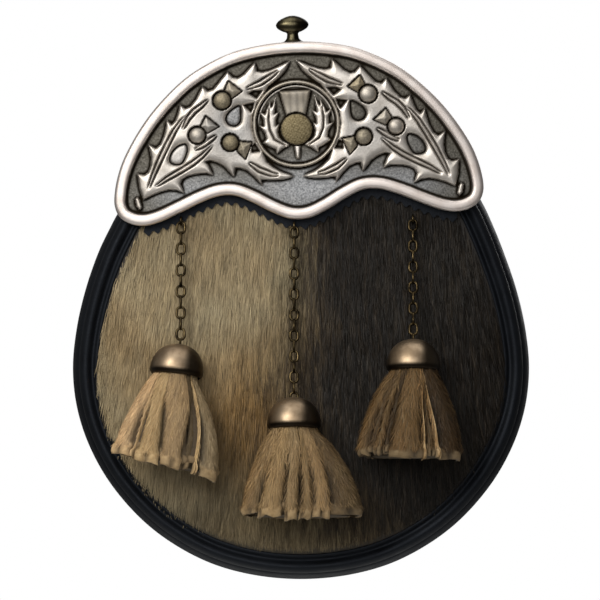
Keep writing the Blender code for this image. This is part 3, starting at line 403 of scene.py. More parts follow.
# Studio, in metres and watts
LIT_AT = (0.0, -0.03, -0.04)
LIGHTS = [  # name, place, width, height, power, colour
    ("key_softbox", (-0.66, -1.05, 0.55), 0.6, 0.6, 11.5, "#FFFDF8"),
    ("front_fill", (-0.1, -1.7, 0.42), 0.9, 0.9, 8.5, "#FFFFFF"),
    ("top_softbox", (0.0, -0.3, 1.1), 1.4, 0.9, 6.0, "#FFFFFF"),
    ("back_softbox", (0.2, 1.3, 0.5), 1.2, 1.2, 10.0, "#FFFFFF"),
]
ROOM_LIGHT = 0.13
FLOOR_RADIUS = 0.4
FLOOR_HEIGHT = -0.42
FLOOR_SIDES = 96


# ---------------------------------------------------------------- lines and surfaces


def placed(points):
    """Millimetres in the drawing to metres in the frame."""
    points = np.asarray(points, float)
    return (points - (0, 0, ORIGIN_Z)) * MM


def smooth(value):
    value = np.clip(value, 0, 1)
    return value * value * (3 - 2 * value)


def glow(flat, x, y, wide, tall):
    """1 at a spot, fading out over its half width and half height."""
    return np.exp(-(((flat[:, 0] - x) / wide) ** 2) - ((flat[:, 1] - y) / tall) ** 2)


def closed_curve(points, steps, between=12):
    """Evenly spaced points along a smooth closed curve through the given ones."""
    knots = np.array(points, float)
    count = len(knots)
    fine = []
    for i in range(count):
        a, b, c, d = (knots[(i + k - 1) % count] for k in range(4))
        ta = max(np.linalg.norm(b - a), 1e-6) ** 0.5
        tb = max(np.linalg.norm(c - b), 1e-6) ** 0.5
        tc = max(np.linalg.norm(d - c), 1e-6) ** 0.5
        m1 = tb * ((b - a) / ta - (c - a) / (ta + tb)) + (c - b)
        m2 = tb * ((d - c) / tc - (d - b) / (tb + tc)) + (c - b)
        for s in np.linspace(0, 1, between, endpoint=False):
            fine.append(
                (2 * s**3 - 3 * s**2 + 1) * b
                + (s**3 - 2 * s**2 + s) * m1
                + (3 * s**2 - 2 * s**3) * c
                + (s**3 - s**2) * m2
            )
    fine = np.array(fine + fine[:1])
    along = np.concatenate([[0], np.cumsum(np.linalg.norm(np.diff(fine, axis=0), axis=1))])
    wanted = np.linspace(0, along[-1], steps, endpoint=False)
    return np.stack([np.interp(wanted, along, fine[:, k]) for k in (0, 1)], axis=1)


def through(rows, steps):
    """A smooth open curve through rows of numbers, with so many steps between two of them."""
    rows = np.array(rows, float)
    ends = np.concatenate([[2 * rows[0] - rows[1]], rows, [2 * rows[-1] - rows[-2]]])
    found = []
    for a, b, c, d in zip(ends, ends[1:], ends[2:], ends[3:]):
        for s in np.linspace(0, 1, steps, endpoint=False):
            found.append(b + 0.5 * s * (c - a + s * (2 * a - 5 * b + 4 * c - d + s * (3 * (b - c) + d - a))))
    return np.array(found + [rows[-1]])


def outward(line):
    """Unit normals of a closed line that runs anticlockwise."""
    way = np.roll(line, -1, axis=0) - np.roll(line, 1, axis=0)
    way /= np.linalg.norm(way, axis=1)[:, None]
    return np.stack([way[:, 1], -way[:, 0]], axis=1)


def inset(line, distance):
    return line - outward(line) * distance


def from_segments(points, a, b):
    """Distance of each point from the nearest of the segments a-b."""
    points = np.asarray(points, float)
    best = np.full(len(points), 1e9)
    for p, q in zip(a, b):
        way = q - p
        share = np.clip(((points - p) @ way) / max(way @ way, 1e-12), 0, 1)
        best = np.minimum(best, np.linalg.norm(points - p - share[:, None] * way, axis=1))
    return best


def inside(points, loop):
    points = np.asarray(points, float)
    found = np.zeros(len(points), bool)
    for p, q in zip(loop, np.roll(loop, -1, axis=0)):
        if p[1] == q[1]:
            continue
        crosses = (p[1] > points[:, 1]) != (q[1] > points[:, 1])
        where = (q[0] - p[0]) * (points[:, 1] - p[1]) / (q[1] - p[1]) + p[0]
        found ^= crosses & (points[:, 0] < where)
    return found


def depth_in(points, loop):
    """How far inside a closed loop each point is, and below zero outside it."""
    loop = np.asarray(loop, float)
    far = from_segments(points, loop, np.roll(loop, -1, axis=0))
    return np.where(inside(points, loop), far, -far)


def lean(line):
    """The pouch turns with the cantle where it lies behind it."""
    line = np.asarray(line, float)
    share = smooth((line[:, 1] - LEAN_FROM) / LEAN_OVER)
    turn = CANTLE_TILT * share
    x, z = line[:, 0], line[:, 1] - CANTLE_Z
    turned_x = x * np.cos(turn) - z * np.sin(turn) + CANTLE_X * share
    return np.stack([turned_x, x * np.sin(turn) + z * np.cos(turn) + CANTLE_Z], axis=1)


def bow(x):
    return BOW * (np.asarray(x, float) / BOW_AT) ** 2


right_side = [(half, height) for height, half in POUCH_LINE]
left_side = [(-half, height) for height, half in POUCH_LINE[-2:0:-1]]
pouch_line = lean(closed_curve(right_side + left_side, POUCH_STEPS))
panel_line = inset(pouch_line, PANEL_INSET)
fine_line = lean(closed_curve(right_side + left_side, FINE_STEPS, 60))


def belly(points):
    """How far the hide swells out of its flat edge."""
    edge = np.clip(depth_in(points, panel_line) / BELLY_EDGE, 0, 1)
    return BELLY * (1 - (1 - edge) ** 2) * smooth((BELLY_TOP - points[:, 1]) / BELLY_RISE)


def panel_face(points):
    points = np.asarray(points, float)
    return PANEL_FRONT + bow(points[:, 0]) - belly(points)


def upright(flat, depth):
    """Points of the drawing, as seen from the front, set at a depth."""
    return np.stack([flat[:, 0], np.broadcast_to(depth, len(flat)), flat[:, 1]], axis=1)


def cantle_space(flat, height):
    """Points of the cantle in space, from its own frame and a height above its back."""
    u, v = flat[:, 0], flat[:, 1]
    c, s = math.cos(CANTLE_TILT), math.sin(CANTLE_TILT)
    x = CANTLE_X + u * c - v * s
    return np.stack([x, CANTLE_BACK + bow(x) - height, CANTLE_Z + u * s + v * c], axis=1)


def on_both(*lines):
    """Lines of the cantle's left half, then the same lines on its right."""
    return [*lines, *([(2 * MIDDLE - u, v) for u, v in line][::-1] for line in lines)]


# ---------------------------------------------------------------- meshes


def shown(name, data):
    """A mesh, lamp or camera as an object of the scene."""
    item = bpy.data.objects.new(name, data)
    bpy.context.scene.collection.objects.link(item)
    return item


def make_piece(name, points, faces, surface, numbers=None, sharp=None, closed=True):
    """A mesh object from points in millimetres; numbers are attributes, one value or vector for each point."""
    mesh = bpy.data.meshes.new(name)
    mesh.from_pydata(placed(points).tolist(), [], [tuple(int(i) for i in f) for f in faces])
    if closed:
        shape = bmesh.new()
        shape.from_mesh(mesh)
        bmesh.ops.recalc_face_normals(shape, faces=shape.faces)
        shape.to_mesh(mesh)
        shape.free()
    for key, values in (numbers or {}).items():
        values = np.asarray(values, np.float32)
        kind, field = ("FLOAT", "value") if values.ndim == 1 else ("FLOAT_VECTOR", "vector")
        mesh.attributes.new(key, kind, "POINT").data.foreach_set(field, values.ravel())
    if surface:
        mesh.materials.append(surface)
    mesh.shade_smooth()
    if sharp:
        mesh.set_sharp_from_angle(angle=math.radians(sharp))
    return shown(name, mesh)


def ring_faces(rows, steps, closed=False):
    """Quads between closed runs of points; closed also runs from the last row to the first."""
    i, j = np.meshgrid(np.arange(rows if closed else rows - 1), np.arange(steps), indexing="ij")
    k, m = (i + 1) % rows, (j + 1) % steps
    return np.stack([i * steps + j, i * steps + m, k * steps + m, k * steps + j], axis=-1).reshape(-1, 4)


def stack_faces(rows, steps):
    """Faces of a stack of rings, closed at both ends."""
    ends = [tuple(range(steps)), tuple((rows - 1) * steps + k for k in range(steps))]
    return ring_faces(rows, steps).tolist() + ends


def turned(crest, down, side, ahead, line, sides):
    """Rings of points round an axis; line holds a distance along the axis and a radius for each ring."""
    turns = 2 * math.pi * np.arange(sides) / sides
    spokes = np.outer(np.cos(turns), side) + np.outer(np.sin(turns), ahead)
    return [crest + down * along_axis + spokes * radius for along_axis, radius in line]


def wire(path, side, radius, sides, closed):
    """Points and faces of a round wire along a path in one plane; side is that plane's normal."""
    path, side = np.asarray(path, float), np.asarray(side, float)
    count = len(path)
    points = []
    for i in range(count):
        before = path[i - 1] if closed or i else path[0]
        after = path[(i + 1) % count] if closed or i < count - 1 else path[-1]
        out = np.cross((after - before) / np.linalg.norm(after - before), side)
        out /= np.linalg.norm(out)
        for k in range(sides):
            turn = 2 * math.pi * k / sides
            points.append(path[i] + radius * (math.cos(turn) * out + math.sin(turn) * side))
    faces = ring_faces(count, sides, closed).tolist() if closed else stack_faces(count, sides)
    return points, faces


def joined(parts):
    """Several (points, faces) as one."""
    points, faces = [], []
    for more_points, more_faces in parts:
        start = len(points)
        points += list(more_points)
        faces += [tuple(i + start for i in f) for f in more_faces]
    return points, faces


def open_sides(faces):
    """The sides that only one of the faces has."""
    count = faces.shape[1]
    sides = np.concatenate([faces[:, [k, (k + 1) % count]] for k in range(count)])
    _, first, times = np.unique(np.sort(sides, axis=1), axis=0, return_index=True, return_counts=True)
    return sides[first[times == 1]]


def thick_faces(faces, count):
    """A sheet's faces, those of its back, whose points come next, and the walls between the two."""
    walls = [(b, a, a + count, b + count) for a, b in open_sides(faces)]
    return faces.tolist() + (faces[:, ::-1] + count).tolist() + walls


def mesh_between(loops, inner, keep):
    """A flat triangle mesh with the given loops as edges: its points, its triangles and each point's number."""
    points, edges = [], []
    for loop in loops:
        start = len(points)
        points += [Vector(p) for p in loop]
        edges += [(start + i, start + (i + 1) % len(loop)) for i in range(len(loop))]
    points += [Vector(p) for p in inner]
    made = delaunay_2d_cdt(points, edges, [], 0, 1e-6)
    flat = np.array([tuple(p) for p in made[0]])
    faces = np.array([tuple(f) for f in made[2]])
    numbers = np.array([origin[0] if origin else -1 for origin in made[3]])
    return flat, faces[keep(flat[faces].mean(axis=1))], numbers


def grid_inside(loop, spacing, gap):
    """Points of a triangular grid that keep clear of a loop's edge."""
    low, high = np.min(loop, axis=0), np.max(loop, axis=0)
    rows = []
    for j, z in enumerate(np.arange(low[1], high[1], spacing * 0.87)):
        start = low[0] + (spacing / 2 if j % 2 else 0)
        rows += [(x, z) for x in np.arange(start, high[0], spacing)]
    points = np.array(rows)
    return points[depth_in(points, loop) > gap]


def soft_plate(name, outer, holes, far, near, surface):
    """A flat piece of leather between two depths, its edges rubbed round on the near side."""
    step = math.copysign(BURNISH, near - far)
    rounding = [(BURNISH, far), (0.0, far + step)]
    for turn in np.linspace(0, math.pi / 2, 5):
        rounding.append((BURNISH * (1 - math.cos(turn)), near - step * (1 - math.sin(turn))))
    points, faces = [], []
    rims = []
    for loop, sign in [(outer, 1)] + [(hole, -1) for hole in holes]:
        start = len(points)
        count = len(loop)
        for distance, depth in rounding:
            flat = inset(loop, sign * distance)
            points += [(x, depth, z) for x, z in flat]
        faces += (ring_faces(len(rounding), count) + start).tolist()
        rims.append((start, start + (len(rounding) - 1) * count, count))
    for which in (0, 1):
        order = np.concatenate([np.arange(rim[which], rim[which] + rim[2]) for rim in rims])
        loops = [np.array([(points[i][0], points[i][2]) for i in range(r[which], r[which] + r[2])]) for r in rims]

        def on_leather(spots):
            found = inside(spots, loops[0])
            for hole in loops[1:]:
                found &= ~inside(spots, hole)
            return found

        _, flat_faces, numbers = mesh_between(loops, [], on_leather)
        faces += order[numbers[flat_faces]].tolist()
    return make_piece(name, points, faces, surface, sharp=50)


def softened(name, node, width, surface):
    """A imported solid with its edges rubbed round, as a new piece."""
    shape = bmesh.new()
    shape.from_mesh(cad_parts[node].data)
    bmesh.ops.remove_doubles(shape, verts=shape.verts, dist=1e-6)
    bmesh.ops.dissolve_limit(shape, angle_limit=math.radians(1), verts=shape.verts, edges=shape.edges)
    sharp = [e for e in shape.edges if e.calc_face_angle(0) > math.radians(12)]
    bmesh.ops.bevel(
        shape, geom=sharp, offset=width * MM, segments=3, profile=0.5, affect="EDGES", clamp_overlap=True
    )
    bmesh.ops.recalc_face_normals(shape, faces=shape.faces)
    mesh = bpy.data.meshes.new(name)
    shape.to_mesh(mesh)
    shape.free()
    mesh.materials.append(surface)
    mesh.shade_smooth()
    mesh.set_sharp_from_angle(angle=math.radians(35))
    return shown(name, mesh)


# ---------------------------------------------------------------- nodes


def rgb(code):
    """An sRGB hex value as linear red, green, blue and alpha."""
    parts = [int(code[i : i + 2], 16) / 255 for i in (1, 3, 5)]
    return (*[p / 12.92 if p <= 0.04045 else ((p + 0.055) / 1.055) ** 2.4 for p in parts], 1.0)


def feed(tree, node, inputs):
    """Links each input that is given as a node or a socket, and sets any other on its own socket."""
    live = [s for s in node.inputs if s.enabled]
    for key, value in inputs.items():
        target = live[key] if isinstance(key, int) else next(s for s in live if s.name == key)
        if isinstance(value, bpy.types.Node):
            value = next(s for s in value.outputs if s.enabled)
        if isinstance(value, bpy.types.NodeSocket):
            tree.links.new(value, target)
        else:
            target.default_value = value
    return node


def add(tree, kind, inputs=(), **settings):
    node = tree.nodes.new(kind)
    for key, value in settings.items():
        setattr(node, key, value)
    return feed(tree, node, dict(inputs))


def material(name, looks, *values):
    """A material; looks gives what goes into the inputs of its shader."""
    made = bpy.data.materials.new(name)
    made.use_nodes = True
    tree = made.node_tree
    feed(tree, tree.nodes["Principled BSDF"], looks(tree, *values))
    return made


def maths(tree, operation, *values, **settings):
    return add(tree, "ShaderNodeMath", dict(enumerate(values)), operation=operation, **settings)


def mapped(tree, value, to_low, to_high, low=0.0, high=1.0):
    return add(tree, "ShaderNodeMapRange", {0: value, 1: low, 2: high, 3: to_low, 4: to_high})


def mixed(tree, factor, a, b, blend="MIX"):
    return add(tree, "ShaderNodeMix", {"Factor": factor, "A": a, "B": b}, data_type="RGBA", blend_type=blend)


def noise(tree, size, detail=2.0):
    inputs = {"Vector": object_point(tree), "Scale": per_metre(size), "Detail": detail}
    return add(tree, "ShaderNodeTexNoise", inputs)


def bump(tree, height, strength, distance, **more):
    return add(tree, "ShaderNodeBump", {"Height": height, "Strength": strength, "Distance": distance, **more})


def ramp(tree, factor, stops):
    """A colour ramp: stops hold a place from 0 to 1 and an sRGB hex value."""
    node = add(tree, "ShaderNodeValToRGB", {0: factor})
    band = node.color_ramp
    while len(band.elements) < len(stops):
        band.elements.new(0.5)
    for element, (place, code) in zip(band.elements, stops):
        element.position = place
        element.color = rgb(code)
    return node


def object_point(tree):
    return add(tree, "ShaderNodeTexCoord").outputs["Object"]


def read_number(tree, name):
    return add(tree, "ShaderNodeAttribute", attribute_name=name).outputs["Fac"]


def per_metre(size):
    """The scale that gives a pattern features of a size in millimetres."""
    return 1 / (size * MM)


def leather_looks(tree):
    """Drum-dyed cowhide, printed with a fine grain and polished: near black, its rolls with a soft blue sheen."""
    # real grain is near 0.5 mm across, drawn at 1 mm so that it shows
    grid = {"Vector": object_point(tree), "Scale": per_metre(1.0)}
    grain = add(tree, "ShaderNodeTexVoronoi", grid, feature="F1")
    creases = noise(tree, 9.0, 4.0)
    return {
        "Base Color": ramp(tree, creases, [(0.3, "#060709"), (0.7, "#0B0D10")]),
        "Roughness": mapped(tree, creases, 0.5, 0.64, 0.3, 0.7),
        "Normal": bump(tree, creases, 0.5, 0.0006, Normal=bump(tree, grain, 0.35, 0.00012)),
        "Specular IOR Level": 0.3,
        "Specular Tint": rgb("#C4CDDD"),
    }


def cast_looks(tree):
    """Cast white metal, oxidised and buffed: bright ridges, brown-black hollows and a sandy field."""
    # the sand of the mould leaves grains near 0.4 mm, drawn at 0.7 mm
    sand, cloud = noise(tree, 0.7, 3.0), noise(tree, 6.0, 4.0)
    names = ("field", "patina", "brass", "rim", "lit")
    field, dark, brass, on_rim, lit = (read_number(tree, key) for key in names)
    bright = ramp(tree, cloud, [(0.3, "#BAB2A8"), (0.7, "#DFD8D0")])
    rim = ramp(tree, cloud, [(0.3, "#D8CCC4"), (0.7, "#E9E0DA")])
    dull = ramp(tree, sand, [(0.3, "#4B4841"), (0.5, "#635F57"), (0.7, "#7B776F")])
    clear = ramp(tree, sand, [(0.3, "#7C7D7F"), (0.5, "#9D9EA0"), (0.7, "#BBBBBC")])
    warm = ramp(tree, sand, [(0.3, "#6E6247"), (0.7, "#A99B7A")])
    # painted reflection: the field goes from dull brown where lit is 0 to light grey where it is 1
    tone = mixed(tree, field, mixed(tree, on_rim, bright, rim), mixed(tree, lit, dull, clear))
    tone = mixed(tree, dark, mixed(tree, brass, tone, warm), rgb("#241D13"))
    rough = mapped(tree, on_rim, 0.49, 0.5)
    for number, more in ((field, 0.12), (dark, 0.25), (brass, 0.14)):
        rough = maths(tree, "ADD", rough, maths(tree, "MULTIPLY", number, more))
    rise = bump(tree, sand, mapped(tree, field, 0.12, 0.6), 0.00025)
    return {"Base Color": tone, "Metallic": 1.0, "Roughness": rough, "Normal": rise}


def metal_looks(tree, dark, light, rough, spots):
    """Plated or browned metal: its colour clouds over a size in millimetres and turns dark brown where it is
    tarnished and where shade is painted.
    """
    cloud = noise(tree, spots, 5.0)
    tone = ramp(tree, cloud, [(0.35, dark), (0.68, light)])
    return {
        "Base Color": mixed(tree, read_number(tree, "tarnish"), tone, rgb("#16110C")),
        "Metallic": 1.0,
        "Roughness": mapped(tree, cloud, rough + 0.1, rough - 0.04, 0.3, 0.7),
        "Normal": bump(tree, cloud, 0.15, 0.0002),
    }


def hair_looks(tree, number, stops, low, high):
    """Hair left on a tanned hide: each strand dull, darker at its root and paler at its tip."""
    along, shade = read_number(tree, "along"), read_number(tree, "shade")
    # locks of the other colour stray over the border between two colours
    tone = ramp(tree, maths(tree, "ADD", read_number(tree, number), mapped(tree, shade, 0.17, -0.17)), stops)
    # the coat is browner in some places and greyer in others
    cloud = noise(tree, 24.0)
    value = mapped(tree, along, 0.72, 1.12)
    mottle = mapped(tree, cloud, 0.9, 1.08, 0.3, 0.7)
    for more in (mapped(tree, shade, low, high), read_number(tree, "bright"), mottle):
        value = maths(tree, "MULTIPLY", value, more)
    brown = mapped(tree, cloud, 0.3, -0.05, 0.3, 0.7)
    brown = maths(tree, "ADD", brown, read_number(tree, "warm"), use_clamp=True)
    tone = mixed(tree, brown, tone, rgb("#FFDEB2"), "MULTIPLY")
    tone = add(tree, "ShaderNodeHueSaturation", {"Value": value, "Color": tone})
    return {"Base Color": tone, "Roughness": 0.55, "Specular IOR Level": 0.2}


def skin_looks(tree):
    """Tanned skin under the hair: dull and dark, seen only between the strands."""
    tone = ramp(tree, read_number(tree, "dark"), [(0.0, "#6B5F47"), (0.5, "#453E31"), (1.0, "#1B1714")])
    return {"Base Color": tone, "Normal": bump(tree, noise(tree, 0.8), 0.4, 0.0002), "Roughness": 0.8}


def suede_looks(tree):
    """Cut strips of hide: tan hair side, paler raw edges, and painted shade that browns the folds and slits."""
    nap = noise(tree, 0.9, 4.0)
    base = ramp(tree, read_number(tree, "tone"), [(0.0, "#968465"), (0.45, "#A68D64"), (1.0, "#B89A72")])
    raw = ramp(tree, noise(tree, 2.6), [(0.3, "#8F7147"), (0.7, "#C4A67A")])
    tone = mixed(tree, read_number(tree, "cut"), base, raw)
    light = mapped(tree, read_number(tree, "shade"), 0.02, 1.1, 0.0, 1.1)
    value = maths(tree, "MULTIPLY", light, mapped(tree, nap, 0.88, 1.1, 0.3, 0.7))
    tone = add(tree, "ShaderNodeHueSaturation", {"Value": value, "Color": tone})
    return {"Base Color": tone, "Normal": bump(tree, nap, 0.5, 0.0004), "Roughness": 0.85}


def plain_looks(tree, size, dark, light, rough):
    """One colour that clouds over a size in millimetres."""
    return {"Base Color": ramp(tree, noise(tree, size), [(0.3, dark), (0.7, light)]), "Roughness": rough}


# ---------------------------------------------------------------- node trees that make shapes


def new_tree(name, **inputs):
    """An empty geometry tree whose named inputs carry its sizes, listed by their kind."""
    tree = bpy.data.node_groups.new(name, "GeometryNodeTree")
    for kind, labels in ({"Geometry": ["Geometry"]} | inputs).items():
        for label in labels:
            tree.interface.new_socket(label, in_out="INPUT", socket_type="NodeSocket" + kind)
    tree.interface.new_socket("Geometry", in_out="OUTPUT", socket_type="NodeSocketGeometry")
    return tree, add(tree, "NodeGroupInput").outputs


def end_tree(tree, surface, **instances):
    """Ends a tree: instances set on points, made real, shaded smooth and given their material."""
    made = instances.get("Geometry") or add(tree, "GeometryNodeInstanceOnPoints", instances)
    made = add(tree, "GeometryNodeRealizeInstances", {"Geometry": made})
    made = add(tree, "GeometryNodeSetShadeSmooth", {"Geometry": made})
    made = add(tree, "GeometryNodeSetMaterial", {"Geometry": made, "Material": surface})
    add(tree, "NodeGroupOutput", {0: made})
    return tree


def vector(tree, *values):
    return add(tree, "ShaderNodeCombineXYZ", dict(enumerate(values)))


def attribute(tree, name, kind="FLOAT"):
    return add(tree, "GeometryNodeInputNamedAttribute", {"Name": name}, data_type=kind)


def stored(tree, geometry, name, value, domain):
    inputs = {"Geometry": geometry, "Name": name, "Value": value}
    return add(tree, "GeometryNodeStoreNamedAttribute", inputs, data_type="FLOAT", domain=domain)


def drawn(tree, low, high, seed, kind="FLOAT"):
    """A number of chance for each point."""
    return add(tree, "FunctionNodeRandomValue", {"Min": low, "Max": high, "Seed": seed}, data_type=kind)


def along_axes(tree, z_way, y_way):
    """The turn that takes Z and Y to two directions."""
    inputs = {"Primary Axis": z_way, "Secondary Axis": y_way}
    return add(tree, "FunctionNodeAxesToRotation", inputs, primary_axis="Z", secondary_axis="Y")


def point_parts(tree):
    return add(tree, "ShaderNodeSeparateXYZ", {0: add(tree, "GeometryNodeInputPosition")}).outputs


def lying_hair_tree():
    """Short ribbons that lie along a surface's flow attribute, gathered in locks."""
    sizes = ("Density", "Length", "Width", "Lift", "Sway", "Roll")
    tree, ask = new_tree("lying_hair", Float=sizes, Vector=["Lock"], Int=["Seed"], Material=["Surface"])
    density = maths(tree, "MULTIPLY", ask["Density"], attribute(tree, "cover"))
    bed = {"Mesh": ask["Geometry"], "Density": density, "Seed": ask["Seed"]}
    spots = add(tree, "GeometryNodeDistributePointsOnFaces", bed)
    # one ribbon: its root at the origin, its length along Y and its lift along Z
    grid = add(tree, "GeometryNodeMeshGrid", {"Size X": 1.0, "Size Y": 1.0, "Vertices X": 2, "Vertices Y": 4})
    across, up, _ = point_parts(tree)
    along = maths(tree, "ADD", up, 0.5)
    taper = maths(tree, "POWER", maths(tree, "SUBTRACT", 1.05, along), 0.6)
    x = maths(tree, "MULTIPLY", across, maths(tree, "MULTIPLY", taper, ask["Width"]))
    y = maths(tree, "MULTIPLY", along, ask["Length"])
    bend = maths(tree, "MULTIPLY", maths(tree, "SUBTRACT", 1.7, along), along)
    z = maths(tree, "SUBTRACT", maths(tree, "MULTIPLY", bend, ask["Lift"]), 0.0001)
    ribbon = add(tree, "GeometryNodeSetPosition", {"Geometry": grid, "Position": vector(tree, x, y, z)})
    ribbon = stored(tree, ribbon, "along", along, "POINT")
    # locks: neighbouring strands share a turn and a shade
    lie = attribute(tree, "lie", "FLOAT_VECTOR")
    coarse = add(tree, "ShaderNodeVectorMath", {0: lie, 1: ask["Lock"]}, operation="DIVIDE")
    lock = add(tree, "ShaderNodeTexNoise", {"Vector": coarse, "Scale": 1.0, "Detail": 1.5})
    shifted = add(tree, "ShaderNodeVectorMath", {0: coarse, 1: (31.7, 12.3, 5.1)}, operation="ADD")
    other = add(tree, "ShaderNodeTexNoise", {"Vector": shifted, "Scale": 0.7, "Detail": 2.0})
    sway = maths(tree, "ADD", mapped(tree, other, -1.0, 1.0, 0.3, 0.7), drawn(tree, -1.0, 1.0, 3))
    sway = maths(tree, "MULTIPLY", sway, ask["Sway"])
    roll = maths(tree, "MULTIPLY", drawn(tree, -1.0, 1.0, 4), ask["Roll"])
    facing = along_axes(tree, spots.outputs["Normal"], attribute(tree, "flow", "FLOAT_VECTOR"))
    turn = add(tree, "FunctionNodeEulerToRotation", {0: vector(tree, 0.0, roll, sway)})
    facing = add(tree, "FunctionNodeRotateRotation", {0: facing, 1: turn}, rotation_space="LOCAL")
    size = drawn(tree, (0.75, 0.65, 0.5), (1.25, 1.1, 1.5), 5, "FLOAT_VECTOR")
    shorter = vector(tree, 1.0, attribute(tree, "reach"), 1.0)
    size = add(tree, "ShaderNodeVectorMath", {0: size, 1: shorter}, operation="MULTIPLY")
    strands = {"Points": spots, "Instance": ribbon, "Rotation": facing, "Scale": size}
    strands = add(tree, "GeometryNodeInstanceOnPoints", strands)
    shade = maths(tree, "ADD", mapped(tree, lock, 0.1, 0.9, 0.3, 0.7), drawn(tree, -0.32, 0.32, 6))
    return end_tree(tree, ask["Surface"], Geometry=stored(tree, strands, "shade", shade, "INSTANCE"))


def chain_tree():
    """Oval wire links, each a quarter turn on from the last, down the local -Z axis."""
    sizes = ("Pitch", "Wire", "Half Width", "Half Straight")
    tree, ask = new_tree("wire_chain", Int=["Links"], Float=sizes, Material=["Surface"])
    ring = add(tree, "GeometryNodeCurvePrimitiveCircle", {"Resolution": 20, "Radius": 1.0})
    across, up, _ = point_parts(tree)
    x, z = (maths(tree, "MULTIPLY", part, ask["Half Width"]) for part in (across, up))
    stretch = maths(tree, "MULTIPLY", maths(tree, "SIGN", up), ask["Half Straight"])
    oval = vector(tree, x, 0.0, maths(tree, "ADD", z, stretch))
    path = add(tree, "GeometryNodeSetPosition", {"Geometry": ring, "Position": oval})
    section = add(tree, "GeometryNodeCurvePrimitiveCircle", {"Resolution": 10, "Radius": ask["Wire"]})
    link = add(tree, "GeometryNodeCurveToMesh", {"Curve": path, "Profile Curve": section})
    step = vector(tree, 0.0, 0.0, maths(tree, "MULTIPLY", ask["Pitch"], -1.0))
    spots = add(tree, "GeometryNodeMeshLine", {"Count": ask["Links"], "Offset": step})
    quarter = maths(tree, "MULTIPLY", add(tree, "GeometryNodeInputIndex"), math.pi / 2)
    turn = add(tree, "FunctionNodeEulerToRotation", {0: vector(tree, 0.0, 0.0, quarter)})
    return end_tree(tree, ask["Surface"], Points=spots, Instance=link, Rotation=turn)


def stitch_tree():
    """Short lengths of thread along a line of edges, each lying on a face that points along Facing."""
    tree, ask = new_tree("saddle_stitch", Float=["Pitch", "Thread"], Vector=["Facing"], Material=["Surface"])
    line = add(tree, "GeometryNodeMeshToCurve", {"Mesh": ask["Geometry"]})
    line = add(tree, "GeometryNodeResampleCurve", {"Curve": line, "Length": ask["Pitch"]}, mode="LENGTH")
    bead = add(tree, "GeometryNodeMeshUVSphere", {"Segments": 8, "Rings": 5, "Radius": 1.0})
    size = vector(tree, ask["Thread"], ask["Thread"], maths(tree, "MULTIPLY", ask["Pitch"], 0.4))
    facing = along_axes(tree, add(tree, "GeometryNodeInputTangent"), ask["Facing"])
    return end_tree(tree, ask["Surface"], Points=line, Instance=bead, Rotation=facing, Scale=size)


def grown(name, base, tree, values):
    """The plain mesh that a tree makes on a base object; the base is removed."""
    modifier = base.modifiers.new(name, "NODES")
    modifier.node_group = tree
    for item in tree.interface.items_tree:
        if item.item_type == "SOCKET" and item.in_out == "INPUT" and item.name in values:
            modifier[item.identifier] = values[item.name]
    graph = bpy.context.evaluated_depsgraph_get()
    mesh = bpy.data.meshes.new_from_object(base.evaluated_get(graph))
    base.modifiers.remove(modifier)
    old = base.data
    bpy.data.objects.remove(base)
    bpy.data.meshes.remove(old)
    mesh.name = name
    return shown(name, mesh)


def edge_line(name, lines):
    """A bare object of edges through lines of points; closed lines repeat their first point."""
    points, edges = [], []
    for line in lines:
        start = len(points)
        points += placed(line).tolist()
        edges += [(start + i, start + i + 1) for i in range(len(line) - 1)]
    mesh = bpy.data.meshes.new(name)
    mesh.from_pydata(points, edges, [])
    return shown(name, mesh)


def give(piece, slot, *nodes):
    """Hands a finished piece to the frame."""
    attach(piece, "root")
    if nodes:
        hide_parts(*nodes)
    return piece


# ---------------------------------------------------------------- finishes

black_leather = material("black_cowhide_printed_grain", leather_looks)
cast_metal = material("cast_white_metal_oxidised", cast_looks)
dark_brass = material("browned_brass_lacquered", metal_looks, "#1C1710", "#5C4E35", 0.34, 2.5)
knob_brass = material("antique_brass_turned", metal_looks, "#26231A", "#625B45", 0.3, 4.0)
cap_bronze = material("pressed_bronze_rubbed", metal_looks, "#89765F", "#B19C82", 0.42, 6.0)
skin = material("tanned_skin_under_hair", skin_looks)
blond_to_dark = [(0.0, "#A89A7B"), (0.35, "#877B60"), (0.6, "#544A39"), (0.8, "#352E25"), (1.0, "#1C1813")]
front_hair = material("deer_hair_on_hide", hair_looks, "dark", blond_to_dark, 0.74, 1.26)
tans = [(0.0, "#A89474"), (0.45, "#B79B6E"), (1.0, "#CBAC84")]
tassel_hair = material("calf_hair_on_strips", hair_looks, "tone", tans, 0.6, 1.3)
cut_hide = material("tan_hide_cut_strips", suede_looks)
# waxed linen, dyed black: a little lighter and glossier than the leather it holds
thread = material("waxed_black_thread", plain_looks, 0.5, "#15161A", "#33363D", 0.5)
paper = material("pale_paper_floor", plain_looks, 300.0, "#ECECEA", "#F3F3F1", 0.9)
hair_tree = lying_hair_tree()
links_tree = chain_tree()
stitches_tree = stitch_tree()


# ---------------------------------------------------------------- leather body


def side_wall():
    """Rings of the soft gusset: a full roll round the pouch."""
    section = closed_curve([(share * 10, distance) for share, distance in GUSSET_SECTION], 30)
    back = BACK_FACE - BACK_THICK - GAP
    for share, distance in section:
        flat = inset(fine_line, max(distance, 0.0))
        yield upright(flat, back + np.clip(share / 10, 0, 1) * (GUSSET_FRONT + bow(flat[:, 0]) - back))


def front_border():
    """Rings of the thick piped roll, groove and thin inner lip that frame the hide."""
    for distance, depth in closed_curve(BORDER_SECTION, 40):
        flat = inset(fine_line, distance)
        yield upright(flat, depth + bow(flat[:, 0]))


